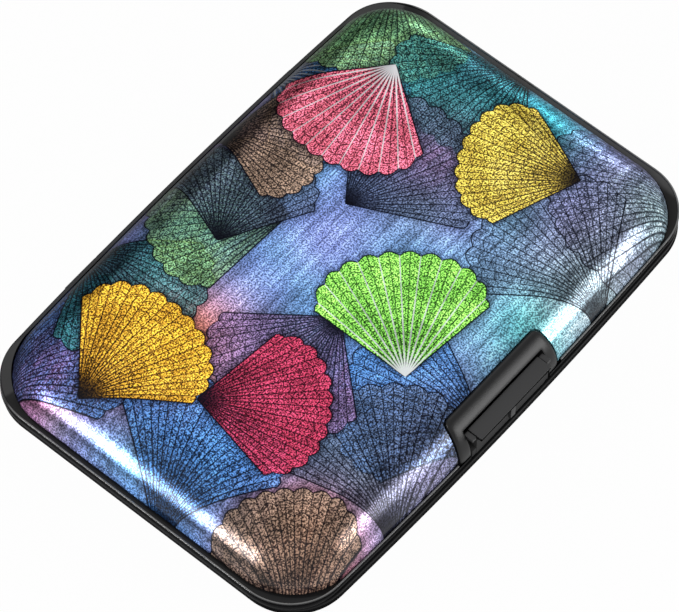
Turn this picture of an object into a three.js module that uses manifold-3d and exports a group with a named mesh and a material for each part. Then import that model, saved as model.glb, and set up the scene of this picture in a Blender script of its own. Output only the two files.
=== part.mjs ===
// Hard card case: two stamped aluminium covers in moulded frames, hinged at the back, latched in front,
// with a pleated accordion of plastic leaves inside. X runs along the hinge, the latch faces -Y, and the
// case lies closed on its underside at Z = 0. Sizes are in millimetres.
import * as THREE from 'three';
import { mergeVertices } from 'three/addons/utils/BufferGeometryUtils.js';
import Module from 'manifold-3d';

const wasm = await Module();
wasm.setup();

// Overall sizes
const LENGTH = 110;
const WIDTH = 75;
const THICKNESS = 20;
const SIDE_BOW = 1.5;
const FRAME_CORNER = 11;

// Frame section, as insets from the outline and heights from the parting plane
const WALL_INSET = 0.15;
const WALL_HEIGHT = 1.05;
const GROOVE_INSET = 0.4;
const GROOVE_HEIGHT = 1.25;
const BEAD_HEIGHT = 1.55;
const BEAD_TOP_INSET = 0.3;
const BEAD_TOP = 1.95;
const LIP_INSET = 0.6;
const LIP_HEIGHT = 1.65;
const LEDGE = 1.15;
const UPSTAND_HEIGHT = 2.65;
const UPSTAND_WALL = 0.8;
const BASE_END_STEP = 0.5;

// Covers: pans with a soft roll all round and a flat face
const COVER_INSET = 0.95;
const COVER_END_INSET = 1.5;
const COVER_WALL = 0.7;
const COVER_CORNER = 12.5;
const COVER_FLAT_CORNER = 4;
const ROLL_X = 14;
const ROLL_Y = 9;
const COVER_GAP = 0.3;
const UPSTAND_GAP = 0.5;

// Hinge: a crowned barrel in three knuckles on one steel rod
const HINGE_INSET = 0.5;
const BARREL_HALF = 30;
const KNUCKLE_SPLIT = 22;
const KNUCKLE_GAP = 0.3;
const BARREL_RADIUS = 0.85;
const BARREL_CROWN = 0.25;
const ROD_RADIUS = 0.45;
const BORE_PLAY = 0.1;
const SWING_RELIEF = 34;

// Latch: an arch let into the lid, and a tongue that turns on a rod in the base frame
const ARCH_FOOT_HALF = 13.4;
const ARCH_TOP_HALF = 12.5;
const ARCH_DEPTH = 5.4;
const ARCH_CORNER = 1.5;
const ARCH_PROUD = 0.6;
const ARCH_FOOT_INSET = 0.45;
const WINDOW_HALF = 10.6;
const WINDOW_TOP = 6.75;
const TONGUE_SIDE_GAP = 0.3;
const TONGUE_TOP_GAP = 0.3;
const TAB_HALF = 9.35;
const TAB_LIP_PROUD = 0.6;
const TAB_LIP_TOP = 6.1;
const TAB_LIP_THICK = 0.55;
const TAB_HEAD_INSET = 1.8;
const TAB_UNDERSIDE = 4.6;
const PANEL_INSET = 0.6;
const PANEL_FOOT = 0.3;
const TONGUE_BACK_INSET = 3;
const PIVOT_INSET = 2.8;
const PIVOT_DEPTH = 0.9;
const BOSS_RADIUS = 1.05;
const RIB_HALF = 0.6;
const RIB_FOOT = 0.8;
const RIB_PROUD = 0.5;
const KEEPER_REACH = 0.85;
const KEEPER_LOW = 2.3;
const KEEPER_HIGH = 3;
const KEEPER_OUT_INSET = 0.9;
const KEEPER_IN_INSET = 2.1;

// Pocket of the latch in the base frame, and the steel strip in it
const POCKET_SKIN = 1.3;
const POCKET_INSET = 4.9;
const POCKET_WALL = 1.2;
const CHEEK_WIDTH = 2.5;
const CHEEK_OVERLAP = 0.5;
const POCKET_DEPTH = 4.2;
const POCKET_RIM = 0.3;
const ROD_END = 0.3;
const STRIP_HALF = 4;
const STRIP_THICK = 0.3;
const STRIP_GAP = 0.3;
const STRIP_LOW = -3.4;
const STRIP_BEND = -1.2;
const STRIP_TOUCH = 1.8;
const STRIP_END = 2.6;

// Accordion: leaves at one pitch, joined by films folded outwards
const LEAF_COUNT = 8;
const LEAF_THICK = 0.7;
const LEAF_SIDE_INSET = 11.5;
const LEAF_FRONT_INSET = 8;
const LEAF_SPINE_INSET = 9;
const LEAF_CORNER = 4;
const LID_SWING = 60;
const FILM_THICK = 0.2;
const FILM_SEAT = 0.18;
const FILM_GAP = 0.15;
const FILM_END_INSET = 4.5;
const PAD_THICK = 2.3;
const PAD_SIDE_INSET = 12.5;
const PAD_END_INSET = 9;
const PAD_CORNER = 3;

// Facets
const CORNER_STEPS = 7;
const SIDE_STEPS = 4;
const DOME_STEPS = 7;
const ARCH_STEPS = 8;
const ROUND_SIDES = 16;
const BARREL_STEPS = 8;
const BEND_STEPS = 4;
const FILM_STEPS = 6;
const WELD = 1e-4;

// Values that follow from the sizes above
const RISE = THICKNESS / 2;
const FRONT = -WIDTH / 2;
const BOW_RADIUS = ((LENGTH / 2) ** 2 + SIDE_BOW ** 2) / (2 * SIDE_BOW);
const FRAME_PLAN = { length: LENGTH, width: WIDTH, corner: FRAME_CORNER, bow: BOW_RADIUS };
const BASE_PLAN = { ...FRAME_PLAN, length: LENGTH - 2 * BASE_END_STEP };
const COVER_PLAN = {
  length: LENGTH - 2 * COVER_END_INSET,
  width: WIDTH - 2 * COVER_INSET,
  corner: COVER_CORNER,
  bow: BOW_RADIUS - COVER_INSET,
};
const HINGE_Y = WIDTH / 2 - HINGE_INSET;
const BEYOND = 2 * THICKNESS;

// Solids and meshes

// Welds a closed geometry and hands it over for cutting and joining.
function solidOf(geometry) {
  const bare = new THREE.BufferGeometry();
  bare.setAttribute('position', geometry.getAttribute('position'));
  bare.setIndex(geometry.getIndex());
  const welded = mergeVertices(bare, WELD);
  const corners = welded.getIndex().array;
  const kept = [];
  for (let i = 0; i < corners.length; i += 3) {
    const [a, b, c] = corners.slice(i, i + 3);
    if (a !== b && b !== c && c !== a) kept.push(a, b, c);
  }
  const vertProperties = new Float32Array(welded.getAttribute('position').array);
  return new wasm.Manifold(new wasm.Mesh({ numProp: 3, vertProperties, triVerts: new Uint32Array(kept) }));
}

function geometryOf(solid) {
  const made = solid.getMesh();
  const geometry = new THREE.BufferGeometry();
  geometry.setAttribute('position', new THREE.BufferAttribute(made.vertProperties, 3));
  geometry.setIndex(new THREE.BufferAttribute(made.triVerts, 1));
  geometry.computeVertexNormals();
  return geometry;
}

// Cuts every tool away from a body, after joining the added pieces to it.
function shaped(body, added, tools) {
  let solid = solidOf(body);
  for (const piece of added) solid = solid.add(solidOf(piece));
  for (const tool of tools) solid = solid.subtract(solidOf(tool));
  return solid;
}

// Turns a geometry over the parting plane, with its faces still pointing out.
function turnedDown(geometry) {
  const turned = geometry.clone().scale(1, 1, -1);
  const corners = turned.getIndex().array;
  for (let i = 0; i < corners.length; i += 3) {
    [corners[i + 1], corners[i + 2]] = [corners[i + 2], corners[i + 1]];
  }
  return turned;
}

function block(x0, x1, y0, y1, z0, z1) {
  const box = new THREE.BoxGeometry(x1 - x0, y1 - y0, z1 - z0);
  return box.translate((x0 + x1) / 2, (y0 + y1) / 2, (z0 + z1) / 2);
}

// A bar along X whose section is an outline of [y, z] points.
function bar(section, x0, x1) {
  const shape = new THREE.Shape(section.map(([y, z]) => new THREE.Vector2(y, z)));
  const drawn = new THREE.ExtrudeGeometry(shape, { depth: x1 - x0, bevelEnabled: false });
  const turn = new THREE.Matrix4().makeBasis(
    new THREE.Vector3(0, 1, 0),
    new THREE.Vector3(0, 0, 1),
    new THREE.Vector3(1, 0, 0),
  );
  return drawn.applyMatrix4(turn).translate(x0, 0, 0);
}

function rod(radius, x0, x1, y, z) {
  const round = new THREE.CylinderGeometry(radius, radius, x1 - x0, ROUND_SIDES);
  return round.rotateZ(Math.PI / 2).translate((x0 + x1) / 2, y, z);
}

// A rectangle in plan with round corners, drawn up from z0 to z1.
function plate(x0, x1, y0, y1, corner, z0, z1) {
  const shape = new THREE.Shape();
  shape.absarc(x1 - corner, y0 + corner, corner, -Math.PI / 2, 0);
  shape.absarc(x1 - corner, y1 - corner, corner, 0, Math.PI / 2);
  shape.absarc(x0 + corner, y1 - corner, corner, Math.PI / 2, Math.PI);
  shape.absarc(x0 + corner, y0 + corner, corner, Math.PI, 1.5 * Math.PI);
  const settings = { depth: z1 - z0, bevelEnabled: false, curveSegments: BEND_STEPS };
  return new THREE.ExtrudeGeometry(shape, settings).translate(0, 0, z0);
}

// Points round a plan at one height: straight short sides, bowed long sides, corners tangent to both.
function ring(plan, inset, z) {
  const corner = plan.corner - inset;
  const bow = plan.bow - inset;
  const bowCentre = plan.width / 2 - plan.bow;
  const cornerX = plan.length / 2 - plan.corner;
  const cornerY = Math.sqrt((bow - corner) ** 2 - cornerX ** 2) + bowCentre;
  const turn = Math.atan2(cornerY - bowCentre, cornerX);
  const quarter = [];
  for (let i = 0; i <= CORNER_STEPS; i++) {
    const angle = (turn * i) / CORNER_STEPS;
    quarter.push([cornerX + corner * Math.cos(angle), cornerY + corner * Math.sin(angle)]);
  }
  for (let i = 1; i <= SIDE_STEPS; i++) {
    const angle = turn + ((Math.PI / 2 - turn) * i) / SIDE_STEPS;
    quarter.push([bow * Math.cos(angle), bowCentre + bow * Math.sin(angle)]);
  }
  const mirrored = quarter.slice(0, -1).reverse().map(([x, y]) => [-x, y]);
  const back = quarter.concat(mirrored);
  const front = back.map(([x, y]) => [-x, -y]);
  return back.concat(front).map(([x, y]) => new THREE.Vector3(x, y, z));
}

// Joins rings of equally many points: round to the first again, or closed by a flat fan at both ends.
function loft(rings, closesOnItself) {
  const count = rings[0].length;
  const position = rings.flat().flatMap((point) => point.toArray());
  const index = [];
  const strips = closesOnItself ? rings.length : rings.length - 1;
  for (let r = 0; r < strips; r++) {
    const low = r * count;
    const high = ((r + 1) % rings.length) * count;
    for (let i = 0; i < count; i++) {
      const j = (i + 1) % count;
      index.push(low + i, low + j, high + j, low + i, high + j, high + i);
    }
  }
  if (!closesOnItself) {
    const last = (rings.length - 1) * count;
    const centre = rings.length * count;
    position.push(0, 0, rings[0][0].z, 0, 0, rings[rings.length - 1][0].z);
    for (let i = 0; i < count; i++) {
      const j = (i + 1) % count;
      index.push(centre, j, i, centre + 1, last + i, last + j);
    }
  }
  const geometry = new THREE.BufferGeometry();
  geometry.setAttribute('position', new THREE.Float32BufferAttribute(position, 3));
  geometry.setIndex(index);
  return geometry;
}

// Covers

const quarterTurn = (steps) => Array.from({ length: steps + 1 }, (_, i) => (Math.PI / 2) * (i / steps));

// One ring of a cover's outer or inner face: the roll is a quarter ellipse from the rim to the flat.
function coverRing(angle, wall) {
  const run = 1 - Math.cos(angle);
  const plan = {
    length: COVER_PLAN.length - 2 * wall - 2 * (ROLL_X - wall) * run,
    width: COVER_PLAN.width - 2 * wall - 2 * (ROLL_Y - wall) * run,
    corner: COVER_CORNER - wall - (COVER_CORNER - wall - COVER_FLAT_CORNER) * run,
    bow: COVER_PLAN.bow - wall,
  };
  return ring(plan, 0, LEDGE + (RISE - LEDGE - wall) * Math.sin(angle));
}

function coverPan() {
  const angles = quarterTurn(DOME_STEPS);
  const outside = angles.map((angle) => coverRing(angle, 0));
  const inside = angles.map((angle) => coverRing(angle, COVER_WALL)).reverse();
  return loft(inside.concat(outside), false);
}

// The arch's outline in plan, drawn up through the front of the lid. Growing it gives the cover's notch.
function archPrism(grow) {
  const foot = ARCH_FOOT_HALF + grow;
  const top = ARCH_TOP_HALF + grow;
  const back = FRONT + ARCH_DEPTH + grow;
  const shape = new THREE.Shape();
  shape.moveTo(-foot, FRONT - ARCH_CORNER);
  shape.lineTo(foot, FRONT - ARCH_CORNER);
  shape.lineTo(foot, FRONT);
  shape.lineTo(top, back - ARCH_CORNER);
  shape.quadraticCurveTo(top, back, top - ARCH_CORNER, back);
  shape.lineTo(ARCH_CORNER - top, back);
  shape.quadraticCurveTo(-top, back, -top, back - ARCH_CORNER);
  shape.lineTo(-foot, FRONT);
  const settings = { depth: THICKNESS, bevelEnabled: false, curveSegments: BEND_STEPS };
  return new THREE.ExtrudeGeometry(shape, settings);
}

const lidCover = shaped(coverPan(), [], [archPrism(COVER_GAP)]);
const baseCover = solidOf(turnedDown(coverPan()));

// Frames

// Section of a frame, from the parting plane up its outer wall, over the bead and down inside the cover.
// The ends of the base frame stand back a little under those of the lid frame.
function frameRing(plan) {
  const seat = COVER_WALL + UPSTAND_GAP;
  return loft([
    ring(plan, WALL_INSET, 0),
    ring(plan, WALL_INSET, WALL_HEIGHT),
    ring(plan, GROOVE_INSET, GROOVE_HEIGHT),
    ring(plan, 0, BEAD_HEIGHT),
    ring(plan, BEAD_TOP_INSET, BEAD_TOP),
    ring(plan, LIP_INSET, LIP_HEIGHT),
    ring(COVER_PLAN, -COVER_GAP, LIP_HEIGHT),
    ring(COVER_PLAN, -COVER_GAP, LEDGE),
    ring(COVER_PLAN, seat, LEDGE),
    ring(COVER_PLAN, seat, UPSTAND_HEIGHT),
    ring(COVER_PLAN, seat + UPSTAND_WALL, UPSTAND_HEIGHT),
    ring(COVER_PLAN, seat + UPSTAND_WALL, 0),
  ], true);
}

// The barrel swells a little towards its middle, as the bowed side does.
function barrelRadius(x) {
  return BARREL_RADIUS + BARREL_CROWN * (1 - (x / BARREL_HALF) ** 2);
}

// A stretch of the barrel, or with extra the room that the other frame leaves round it.
function knuckle(x0, x1, extra) {
  const profile = [new THREE.Vector2(0, x0)];
  for (let i = 0; i <= BARREL_STEPS; i++) {
    const x = x0 + ((x1 - x0) * i) / BARREL_STEPS;
    profile.push(new THREE.Vector2(barrelRadius(x) + extra, x));
  }
  profile.push(new THREE.Vector2(0, x1));
  return new THREE.LatheGeometry(profile, ROUND_SIDES).rotateZ(-Math.PI / 2).translate(0, HINGE_Y, 0);
}

// Behind the hinge line the frames open in a wedge, so that the lid can swing back.
function swingWedge() {
  const reach = WIDTH / 2;
  const rise = reach * Math.tan(THREE.MathUtils.degToRad(SWING_RELIEF));
  const section = [[HINGE_Y, 0], [HINGE_Y + reach, -rise], [HINGE_Y + reach, rise]];
  return bar(section, -LENGTH, LENGTH);
}

const endKnuckles = [[-BARREL_HALF, -KNUCKLE_SPLIT], [KNUCKLE_SPLIT, BARREL_HALF]];
const middleEnd = KNUCKLE_SPLIT - KNUCKLE_GAP;
const hingeBore = rod(ROD_RADIUS + BORE_PLAY, -LENGTH, LENGTH, HINGE_Y, 0);

const PIVOT_Y = FRONT + PIVOT_INSET;
const latchBoreHalf = WINDOW_HALF + CHEEK_WIDTH - ROD_END;
const latchBore = rod(ROD_RADIUS + BORE_PLAY, -latchBoreHalf, latchBoreHalf, PIVOT_Y, -PIVOT_DEPTH);

function lidFrameSolid() {
  const relieved = shaped(frameRing(FRAME_PLAN), [], [
    swingWedge(),
    ...endKnuckles.map(([x0, x1]) => knuckle(x0 - KNUCKLE_GAP, x1 + KNUCKLE_GAP, KNUCKLE_GAP)),
    block(-WINDOW_HALF, WINDOW_HALF, FRONT - BEYOND, FRONT + POCKET_INSET, -BEYOND, BEYOND),
    block(
      -ARCH_FOOT_HALF - COVER_GAP, ARCH_FOOT_HALF + COVER_GAP,
      FRONT - BEYOND, FRONT + COVER_INSET + COVER_WALL, LEDGE, BEYOND,
    ),
  ]);
  return relieved.add(solidOf(knuckle(-middleEnd, middleEnd, 0))).subtract(solidOf(hingeBore));
}

function baseFrameSolid() {
  const wallBack = FRONT + POCKET_INSET + POCKET_WALL;
  const cheekFront = FRONT + COVER_INSET + COVER_WALL + UPSTAND_GAP + UPSTAND_WALL - CHEEK_OVERLAP;
  const outer = WINDOW_HALF + CHEEK_WIDTH;
  const relieved = shaped(turnedDown(frameRing(BASE_PLAN)), [], [
    swingWedge(),
    knuckle(-KNUCKLE_SPLIT, KNUCKLE_SPLIT, KNUCKLE_GAP),
    block(-KNUCKLE_SPLIT, KNUCKLE_SPLIT, HINGE_Y - BARREL_RADIUS, WIDTH, -BEYOND, BEYOND),
    block(-WINDOW_HALF, WINDOW_HALF, FRONT + POCKET_SKIN, FRONT + POCKET_INSET, -BEYOND, BEYOND),
  ]);
  const added = [
    block(-outer, -WINDOW_HALF, cheekFront, wallBack, -POCKET_DEPTH, -POCKET_RIM),
    block(WINDOW_HALF, outer, cheekFront, wallBack, -POCKET_DEPTH, -POCKET_RIM),
    block(-outer, outer, FRONT + POCKET_INSET, wallBack, -POCKET_DEPTH, -POCKET_RIM),
    ...endKnuckles.map(([x0, x1]) => knuckle(x0, x1, 0)),
  ];
  const joined = added.reduce((solid, piece) => solid.add(solidOf(piece)), relieved);
  return joined.subtract(solidOf(hingeBore)).subtract(solidOf(latchBore));
}

// Latch

// Point of the lid cover's front roll, moved out square to it.
function rollPoint(angle, out) {
  const rise = RISE - LEDGE;
  const y = FRONT + COVER_INSET + ROLL_Y * (1 - Math.cos(angle));
  const z = LEDGE + rise * Math.sin(angle);
  const normal = new THREE.Vector2(-rise * Math.cos(angle), ROLL_Y * Math.sin(angle)).normalize();
  return [y + out * normal.x, z + out * normal.y];
}

// A shell along the roll, cut to the arch, with the window for the tongue and a keeper on each leg.
function archSolid() {
  const angles = quarterTurn(ARCH_STEPS).slice(1);
  const section = [
    [FRONT + COVER_INSET + COVER_WALL, LEDGE],
    [FRONT + ARCH_FOOT_INSET, LEDGE],
    [FRONT + ARCH_FOOT_INSET, BEAD_TOP],
    ...angles.map((angle) => rollPoint(angle, ARCH_PROUD)),
    ...angles.map((angle) => rollPoint(angle, -COVER_WALL)).reverse(),
  ];
  const shell = solidOf(bar(section, -2 * ARCH_FOOT_HALF, 2 * ARCH_FOOT_HALF));
  const window = block(-WINDOW_HALF, WINDOW_HALF, FRONT - BEYOND, 0, 0, WINDOW_TOP);
  const arch = shell.intersect(solidOf(archPrism(0))).subtract(solidOf(window));
  const inner = WINDOW_HALF - KEEPER_REACH;
  const outer = FRONT + KEEPER_OUT_INSET;
  const back = FRONT + KEEPER_IN_INSET;
  return arch
    .add(solidOf(block(-ARCH_TOP_HALF, -inner, outer, back, KEEPER_LOW, KEEPER_HIGH)))
    .add(solidOf(block(inner, ARCH_TOP_HALF, outer, back, KEEPER_LOW, KEEPER_HIGH)));
}

// A foot on a boss that turns on the rod, shouldered under the keepers, then a panel that ends in the press
// tab, whose lip stands out in front, and a rib under the tab.
function tongueSolid() {
  const half = WINDOW_HALF - TONGUE_SIDE_GAP;
  const back = FRONT + TONGUE_BACK_INSET;
  const face = FRONT + PANEL_INSET;
  const lip = FRONT - TAB_LIP_PROUD;
  const top = WINDOW_TOP - TONGUE_TOP_GAP;
  const shoulder = KEEPER_LOW - TONGUE_TOP_GAP;
  const foot = bar([
    [PIVOT_Y - BOSS_RADIUS, -PIVOT_DEPTH],
    [PIVOT_Y - BOSS_RADIUS, PANEL_FOOT],
    [face, PANEL_FOOT],
    [face, shoulder],
    [back, shoulder],
    [back, -PIVOT_DEPTH],
  ], -half, half);
  const panel = bar([
    [back, PANEL_FOOT],
    [face, PANEL_FOOT],
    [face, TAB_UNDERSIDE],
    [lip, TAB_LIP_TOP - TAB_LIP_THICK],
    [lip, TAB_LIP_TOP],
    [FRONT + TAB_HEAD_INSET, top],
    [back, top],
  ], -TAB_HALF, TAB_HALF);
  const rib = bar([
    [back, TAB_UNDERSIDE + RIB_PROUD],
    [face - RIB_PROUD, TAB_UNDERSIDE + RIB_PROUD],
    [face - RIB_PROUD, RIB_FOOT + RIB_PROUD],
    [face, RIB_FOOT],
    [back, RIB_FOOT],
  ], -RIB_HALF, RIB_HALF);
  const boss = rod(BOSS_RADIUS, -half, half, PIVOT_Y, -PIVOT_DEPTH);
  return shaped(foot, [panel, rib, boss], [latchBore]);
}

// A steel strip bent in three flats: one on the pocket's wall, a slope, and one at the tongue's back.
function stripGeometry() {
  const wallFace = FRONT + POCKET_INSET;
  const touchFace = FRONT + TONGUE_BACK_INSET + STRIP_GAP;
  return bar([
    [wallFace, STRIP_LOW],
    [wallFace, STRIP_BEND],
    [touchFace + STRIP_THICK, STRIP_TOUCH],
    [touchFace + STRIP_THICK, STRIP_END],
    [touchFace, STRIP_END],
    [touchFace, STRIP_TOUCH - STRIP_THICK / 2],
    [wallFace - STRIP_THICK, STRIP_BEND - STRIP_THICK / 2],
    [wallFace - STRIP_THICK, STRIP_LOW],
  ], -STRIP_HALF, STRIP_HALF);
}

// Accordion

const LEAF_HALF = LENGTH / 2 - LEAF_SIDE_INSET;
const LEAF_BACK = WIDTH / 2 - LEAF_SPINE_INSET;
const LEAF_FRONT = FRONT + LEAF_FRONT_INSET;
const COVER_INSIDE = RISE - COVER_WALL;
const STACK_TOP = COVER_INSIDE - PAD_THICK;
const LEAF_PITCH = (2 * STACK_TOP - LEAF_THICK) / (LEAF_COUNT - 1);
const leafHeight = (number) => (number - (LEAF_COUNT - 1) / 2) * LEAF_PITCH;

function leafGeometry(number) {
  const z = leafHeight(number);
  return plate(
    -LEAF_HALF, LEAF_HALF, LEAF_FRONT, LEAF_BACK, LEAF_CORNER,
    z - LEAF_THICK / 2, z + LEAF_THICK / 2,
  );
}

// How far a film is folded out at a place: half of what its two leaves open by there.
function filmDepth(y) {
  const step = THREE.MathUtils.degToRad(LID_SWING) / (LEAF_COUNT - 1);
  return (LEAF_PITCH - LEAF_THICK + (HINGE_Y - y) * step) / 2;
}

// Stations along the leaf's left side, spine and right side, each with its outward direction.
function filmStations() {
  const sideEnd = LEAF_BACK - LEAF_CORNER;
  const right = [];
  for (let i = 0; i < FILM_STEPS; i++) {
    const y = LEAF_FRONT + FILM_END_INSET + ((sideEnd - LEAF_FRONT - FILM_END_INSET) * i) / FILM_STEPS;
    right.push({ x: LEAF_HALF, y, out: 0 });
  }
  for (let i = 0; i <= BEND_STEPS; i++) {
    const angle = ((Math.PI / 2) * i) / BEND_STEPS;
    const x = LEAF_HALF - LEAF_CORNER + LEAF_CORNER * Math.cos(angle);
    right.push({ x, y: sideEnd + LEAF_CORNER * Math.sin(angle), out: angle });
  }
  const left = right.map(({ x, y, out }) => ({ x: -x, y, out: Math.PI - out })).reverse();
  return right.concat(left);
}

// The film between two leaves: a chevron in section, carried round the three sides of the pocket.
function gussetGeometry(number) {
  const low = leafHeight(number) + FILM_SEAT;
  const high = leafHeight(number + 1) - FILM_SEAT;
  const middle = (low + high) / 2;
  const half = FILM_THICK / 2;
  const sections = filmStations().map(({ x, y, out }) => {
    const depth = filmDepth(y);
    const crease = (depth * FILM_THICK) / (high - low);
    const corners = [
      [0, low - half], [depth, middle], [0, high + half],
      [0, high - half], [depth - crease, middle], [0, low + half],
    ];
    return corners.map(([reach, z]) => new THREE.Vector3(
      x + (FILM_GAP + reach) * Math.cos(out),
      y + (FILM_GAP + reach) * Math.sin(out),
      z,
    ));
  });
  return stripOf(sections);
}

// Joins open sections into a strip with both ends closed. The ends are chevrons of two four-sided legs.
function stripOf(sections) {
  const count = sections[0].length;
  const index = [];
  for (let s = 0; s + 1 < sections.length; s++) {
    for (let i = 0; i < count; i++) {
      const j = (i + 1) % count;
      const here = s * count;
      const next = here + count;
      index.push(here + i, next + j, here + j, here + i, next + i, next + j);
    }
  }
  const legs = [[0, 4, 5], [0, 1, 4], [1, 3, 4], [1, 2, 3]];
  const last = (sections.length - 1) * count;
  for (const [a, b, c] of legs) index.push(a, b, c, last + a, last + c, last + b);
  const geometry = new THREE.BufferGeometry();
  const position = sections.flat().flatMap((point) => point.toArray());
  geometry.setAttribute('position', new THREE.Float32BufferAttribute(position, 3));
  geometry.setIndex(index);
  return geometry;
}

function padGeometry(z0, z1) {
  const half = LEAF_HALF - PAD_SIDE_INSET;
  return plate(-half, half, LEAF_FRONT + PAD_END_INSET, LEAF_BACK - PAD_END_INSET, PAD_CORNER, z0, z1);
}

// Materials
const printedAluminium = { color: 0x6f8fa6, roughness: 0.35, metalness: 0.9 };
const plainAluminium = { color: 0x9aa3aa, roughness: 0.38, metalness: 0.9 };
const blackPlastic = { color: 0x1b1b1d, roughness: 0.3, metalness: 0 };
const darkFilm = { color: 0x24262a, roughness: 0.5, metalness: 0 };
const steel = { color: 0xb8bcc0, roughness: 0.3, metalness: 1 };
const foam = { color: 0xe8e6e0, roughness: 0.9, metalness: 0 };

// Assembly, with the parting plane half way up
const caseGroup = new THREE.Group();
caseGroup.position.z = RISE;

function piece(name, geometry, finish) {
  const mesh = new THREE.Mesh(geometry, new THREE.MeshStandardMaterial(finish));
  mesh.name = name;
  caseGroup.add(mesh);
}

piece('base_cover', geometryOf(baseCover), plainAluminium);
piece('base_frame', geometryOf(baseFrameSolid()), blackPlastic);
piece('lid_cover', geometryOf(lidCover), printedAluminium);
piece('lid_frame', geometryOf(lidFrameSolid()), blackPlastic);
piece('hinge_pin', rod(ROD_RADIUS, -BARREL_HALF, BARREL_HALF, HINGE_Y, 0), steel);
piece('latch_housing', geometryOf(archSolid()), blackPlastic);
piece('latch_tongue', geometryOf(tongueSolid()), blackPlastic);
const latchRodHalf = latchBoreHalf - ROD_END;
piece('latch_pin', rod(ROD_RADIUS, -latchRodHalf, latchRodHalf, PIVOT_Y, -PIVOT_DEPTH), steel);
piece('latch_spring', stripGeometry(), steel);

for (let number = 0; number < LEAF_COUNT; number++) {
  piece(`leaf_${number + 1}`, leafGeometry(number), darkFilm);
}
for (let number = 0; number + 1 < LEAF_COUNT; number++) {
  piece(`gusset_${number + 1}`, gussetGeometry(number), darkFilm);
}
piece('base_pad', padGeometry(-COVER_INSIDE, -STACK_TOP), foam);
piece('lid_pad', padGeometry(STACK_TOP, COVER_INSIDE), foam);

const model = new THREE.Group();
model.add(caseGroup);
export default model;
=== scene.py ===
"""Looks of a hard card case: rolled aluminium covers in black frames, a press latch, a pleated inside."""
import math

import bpy
import numpy as np
from mathutils import Matrix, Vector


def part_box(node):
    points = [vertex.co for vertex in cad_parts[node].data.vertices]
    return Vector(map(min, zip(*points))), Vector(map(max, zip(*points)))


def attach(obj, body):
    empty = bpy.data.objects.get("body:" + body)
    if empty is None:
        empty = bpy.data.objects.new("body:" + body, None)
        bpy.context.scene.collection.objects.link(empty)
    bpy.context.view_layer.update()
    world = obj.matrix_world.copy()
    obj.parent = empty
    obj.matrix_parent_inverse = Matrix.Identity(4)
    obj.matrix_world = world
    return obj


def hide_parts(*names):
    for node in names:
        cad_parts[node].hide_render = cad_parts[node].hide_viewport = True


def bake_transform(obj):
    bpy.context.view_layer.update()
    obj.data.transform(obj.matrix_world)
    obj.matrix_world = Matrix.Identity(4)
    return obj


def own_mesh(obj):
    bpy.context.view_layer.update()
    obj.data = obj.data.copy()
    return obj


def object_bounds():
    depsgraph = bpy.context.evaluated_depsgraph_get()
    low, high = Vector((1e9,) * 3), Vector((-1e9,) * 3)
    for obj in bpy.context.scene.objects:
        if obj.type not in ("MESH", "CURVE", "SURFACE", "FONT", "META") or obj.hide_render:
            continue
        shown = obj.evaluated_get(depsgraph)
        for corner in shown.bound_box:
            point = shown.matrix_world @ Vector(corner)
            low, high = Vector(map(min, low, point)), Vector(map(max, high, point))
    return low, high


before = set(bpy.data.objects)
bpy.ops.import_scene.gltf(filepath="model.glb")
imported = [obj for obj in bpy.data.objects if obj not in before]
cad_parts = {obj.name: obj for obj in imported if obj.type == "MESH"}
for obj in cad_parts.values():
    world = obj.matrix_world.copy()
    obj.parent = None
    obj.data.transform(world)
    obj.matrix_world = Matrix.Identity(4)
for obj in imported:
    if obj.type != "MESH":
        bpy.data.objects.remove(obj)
cad_low, cad_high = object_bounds()

# Lid cover. A pan of thin anodised aluminium, drawn with a soft roll all round and printed over with
# overlapping fans on an iridescent ground. Its rim stands on the lid frame's ledge, and a notch in the
# front edge makes room for the latch's arch.
MM = 0.001
CASE_LENGTH = 2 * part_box("lid_frame")[1].x / MM
CASE_WIDTH = -2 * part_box("base_frame")[0].y / MM
PARTING = (cad_high.z - cad_low.z) / 2 / MM
FRONT = -CASE_WIDTH / 2
SIDE_BOW = 1.5
BOW_RADIUS = ((CASE_LENGTH / 2) ** 2 + SIDE_BOW ** 2) / (2 * SIDE_BOW)

CORNER_COLUMNS = 26
SIDE_COLUMNS = 14
LATCH_COLUMNS = np.concatenate([np.linspace(18, 14, 5), np.linspace(13.9, 9.9, 41), np.linspace(9, 0, 7)])

COVER_WALL = 0.7
COVER_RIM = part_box("lid_cover")[0].z / MM - PARTING
COVER_HALF_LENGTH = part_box("lid_cover")[1].x / MM
COVER_HALF_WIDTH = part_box("lid_cover")[1].y / MM
COVER_CORNER = 12.5
FLAT_CORNER = 4
ROLL_ALONG = 14
ROLL_ACROSS = 9
ROLL_ROWS = 34
HINGE_LEAN = math.radians(15.5)
END_LEAN = math.radians(7)
COVER_PROUD = 0.25
CORNER_DIP = 0.95
ARCH_FOOT_HALF = 13.4
ARCH_TOP_HALF = 12.5
ARCH_DEPTH = 5.4
ARCH_CORNER = 1.5
NOTCH_GAP = 0.3


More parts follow.
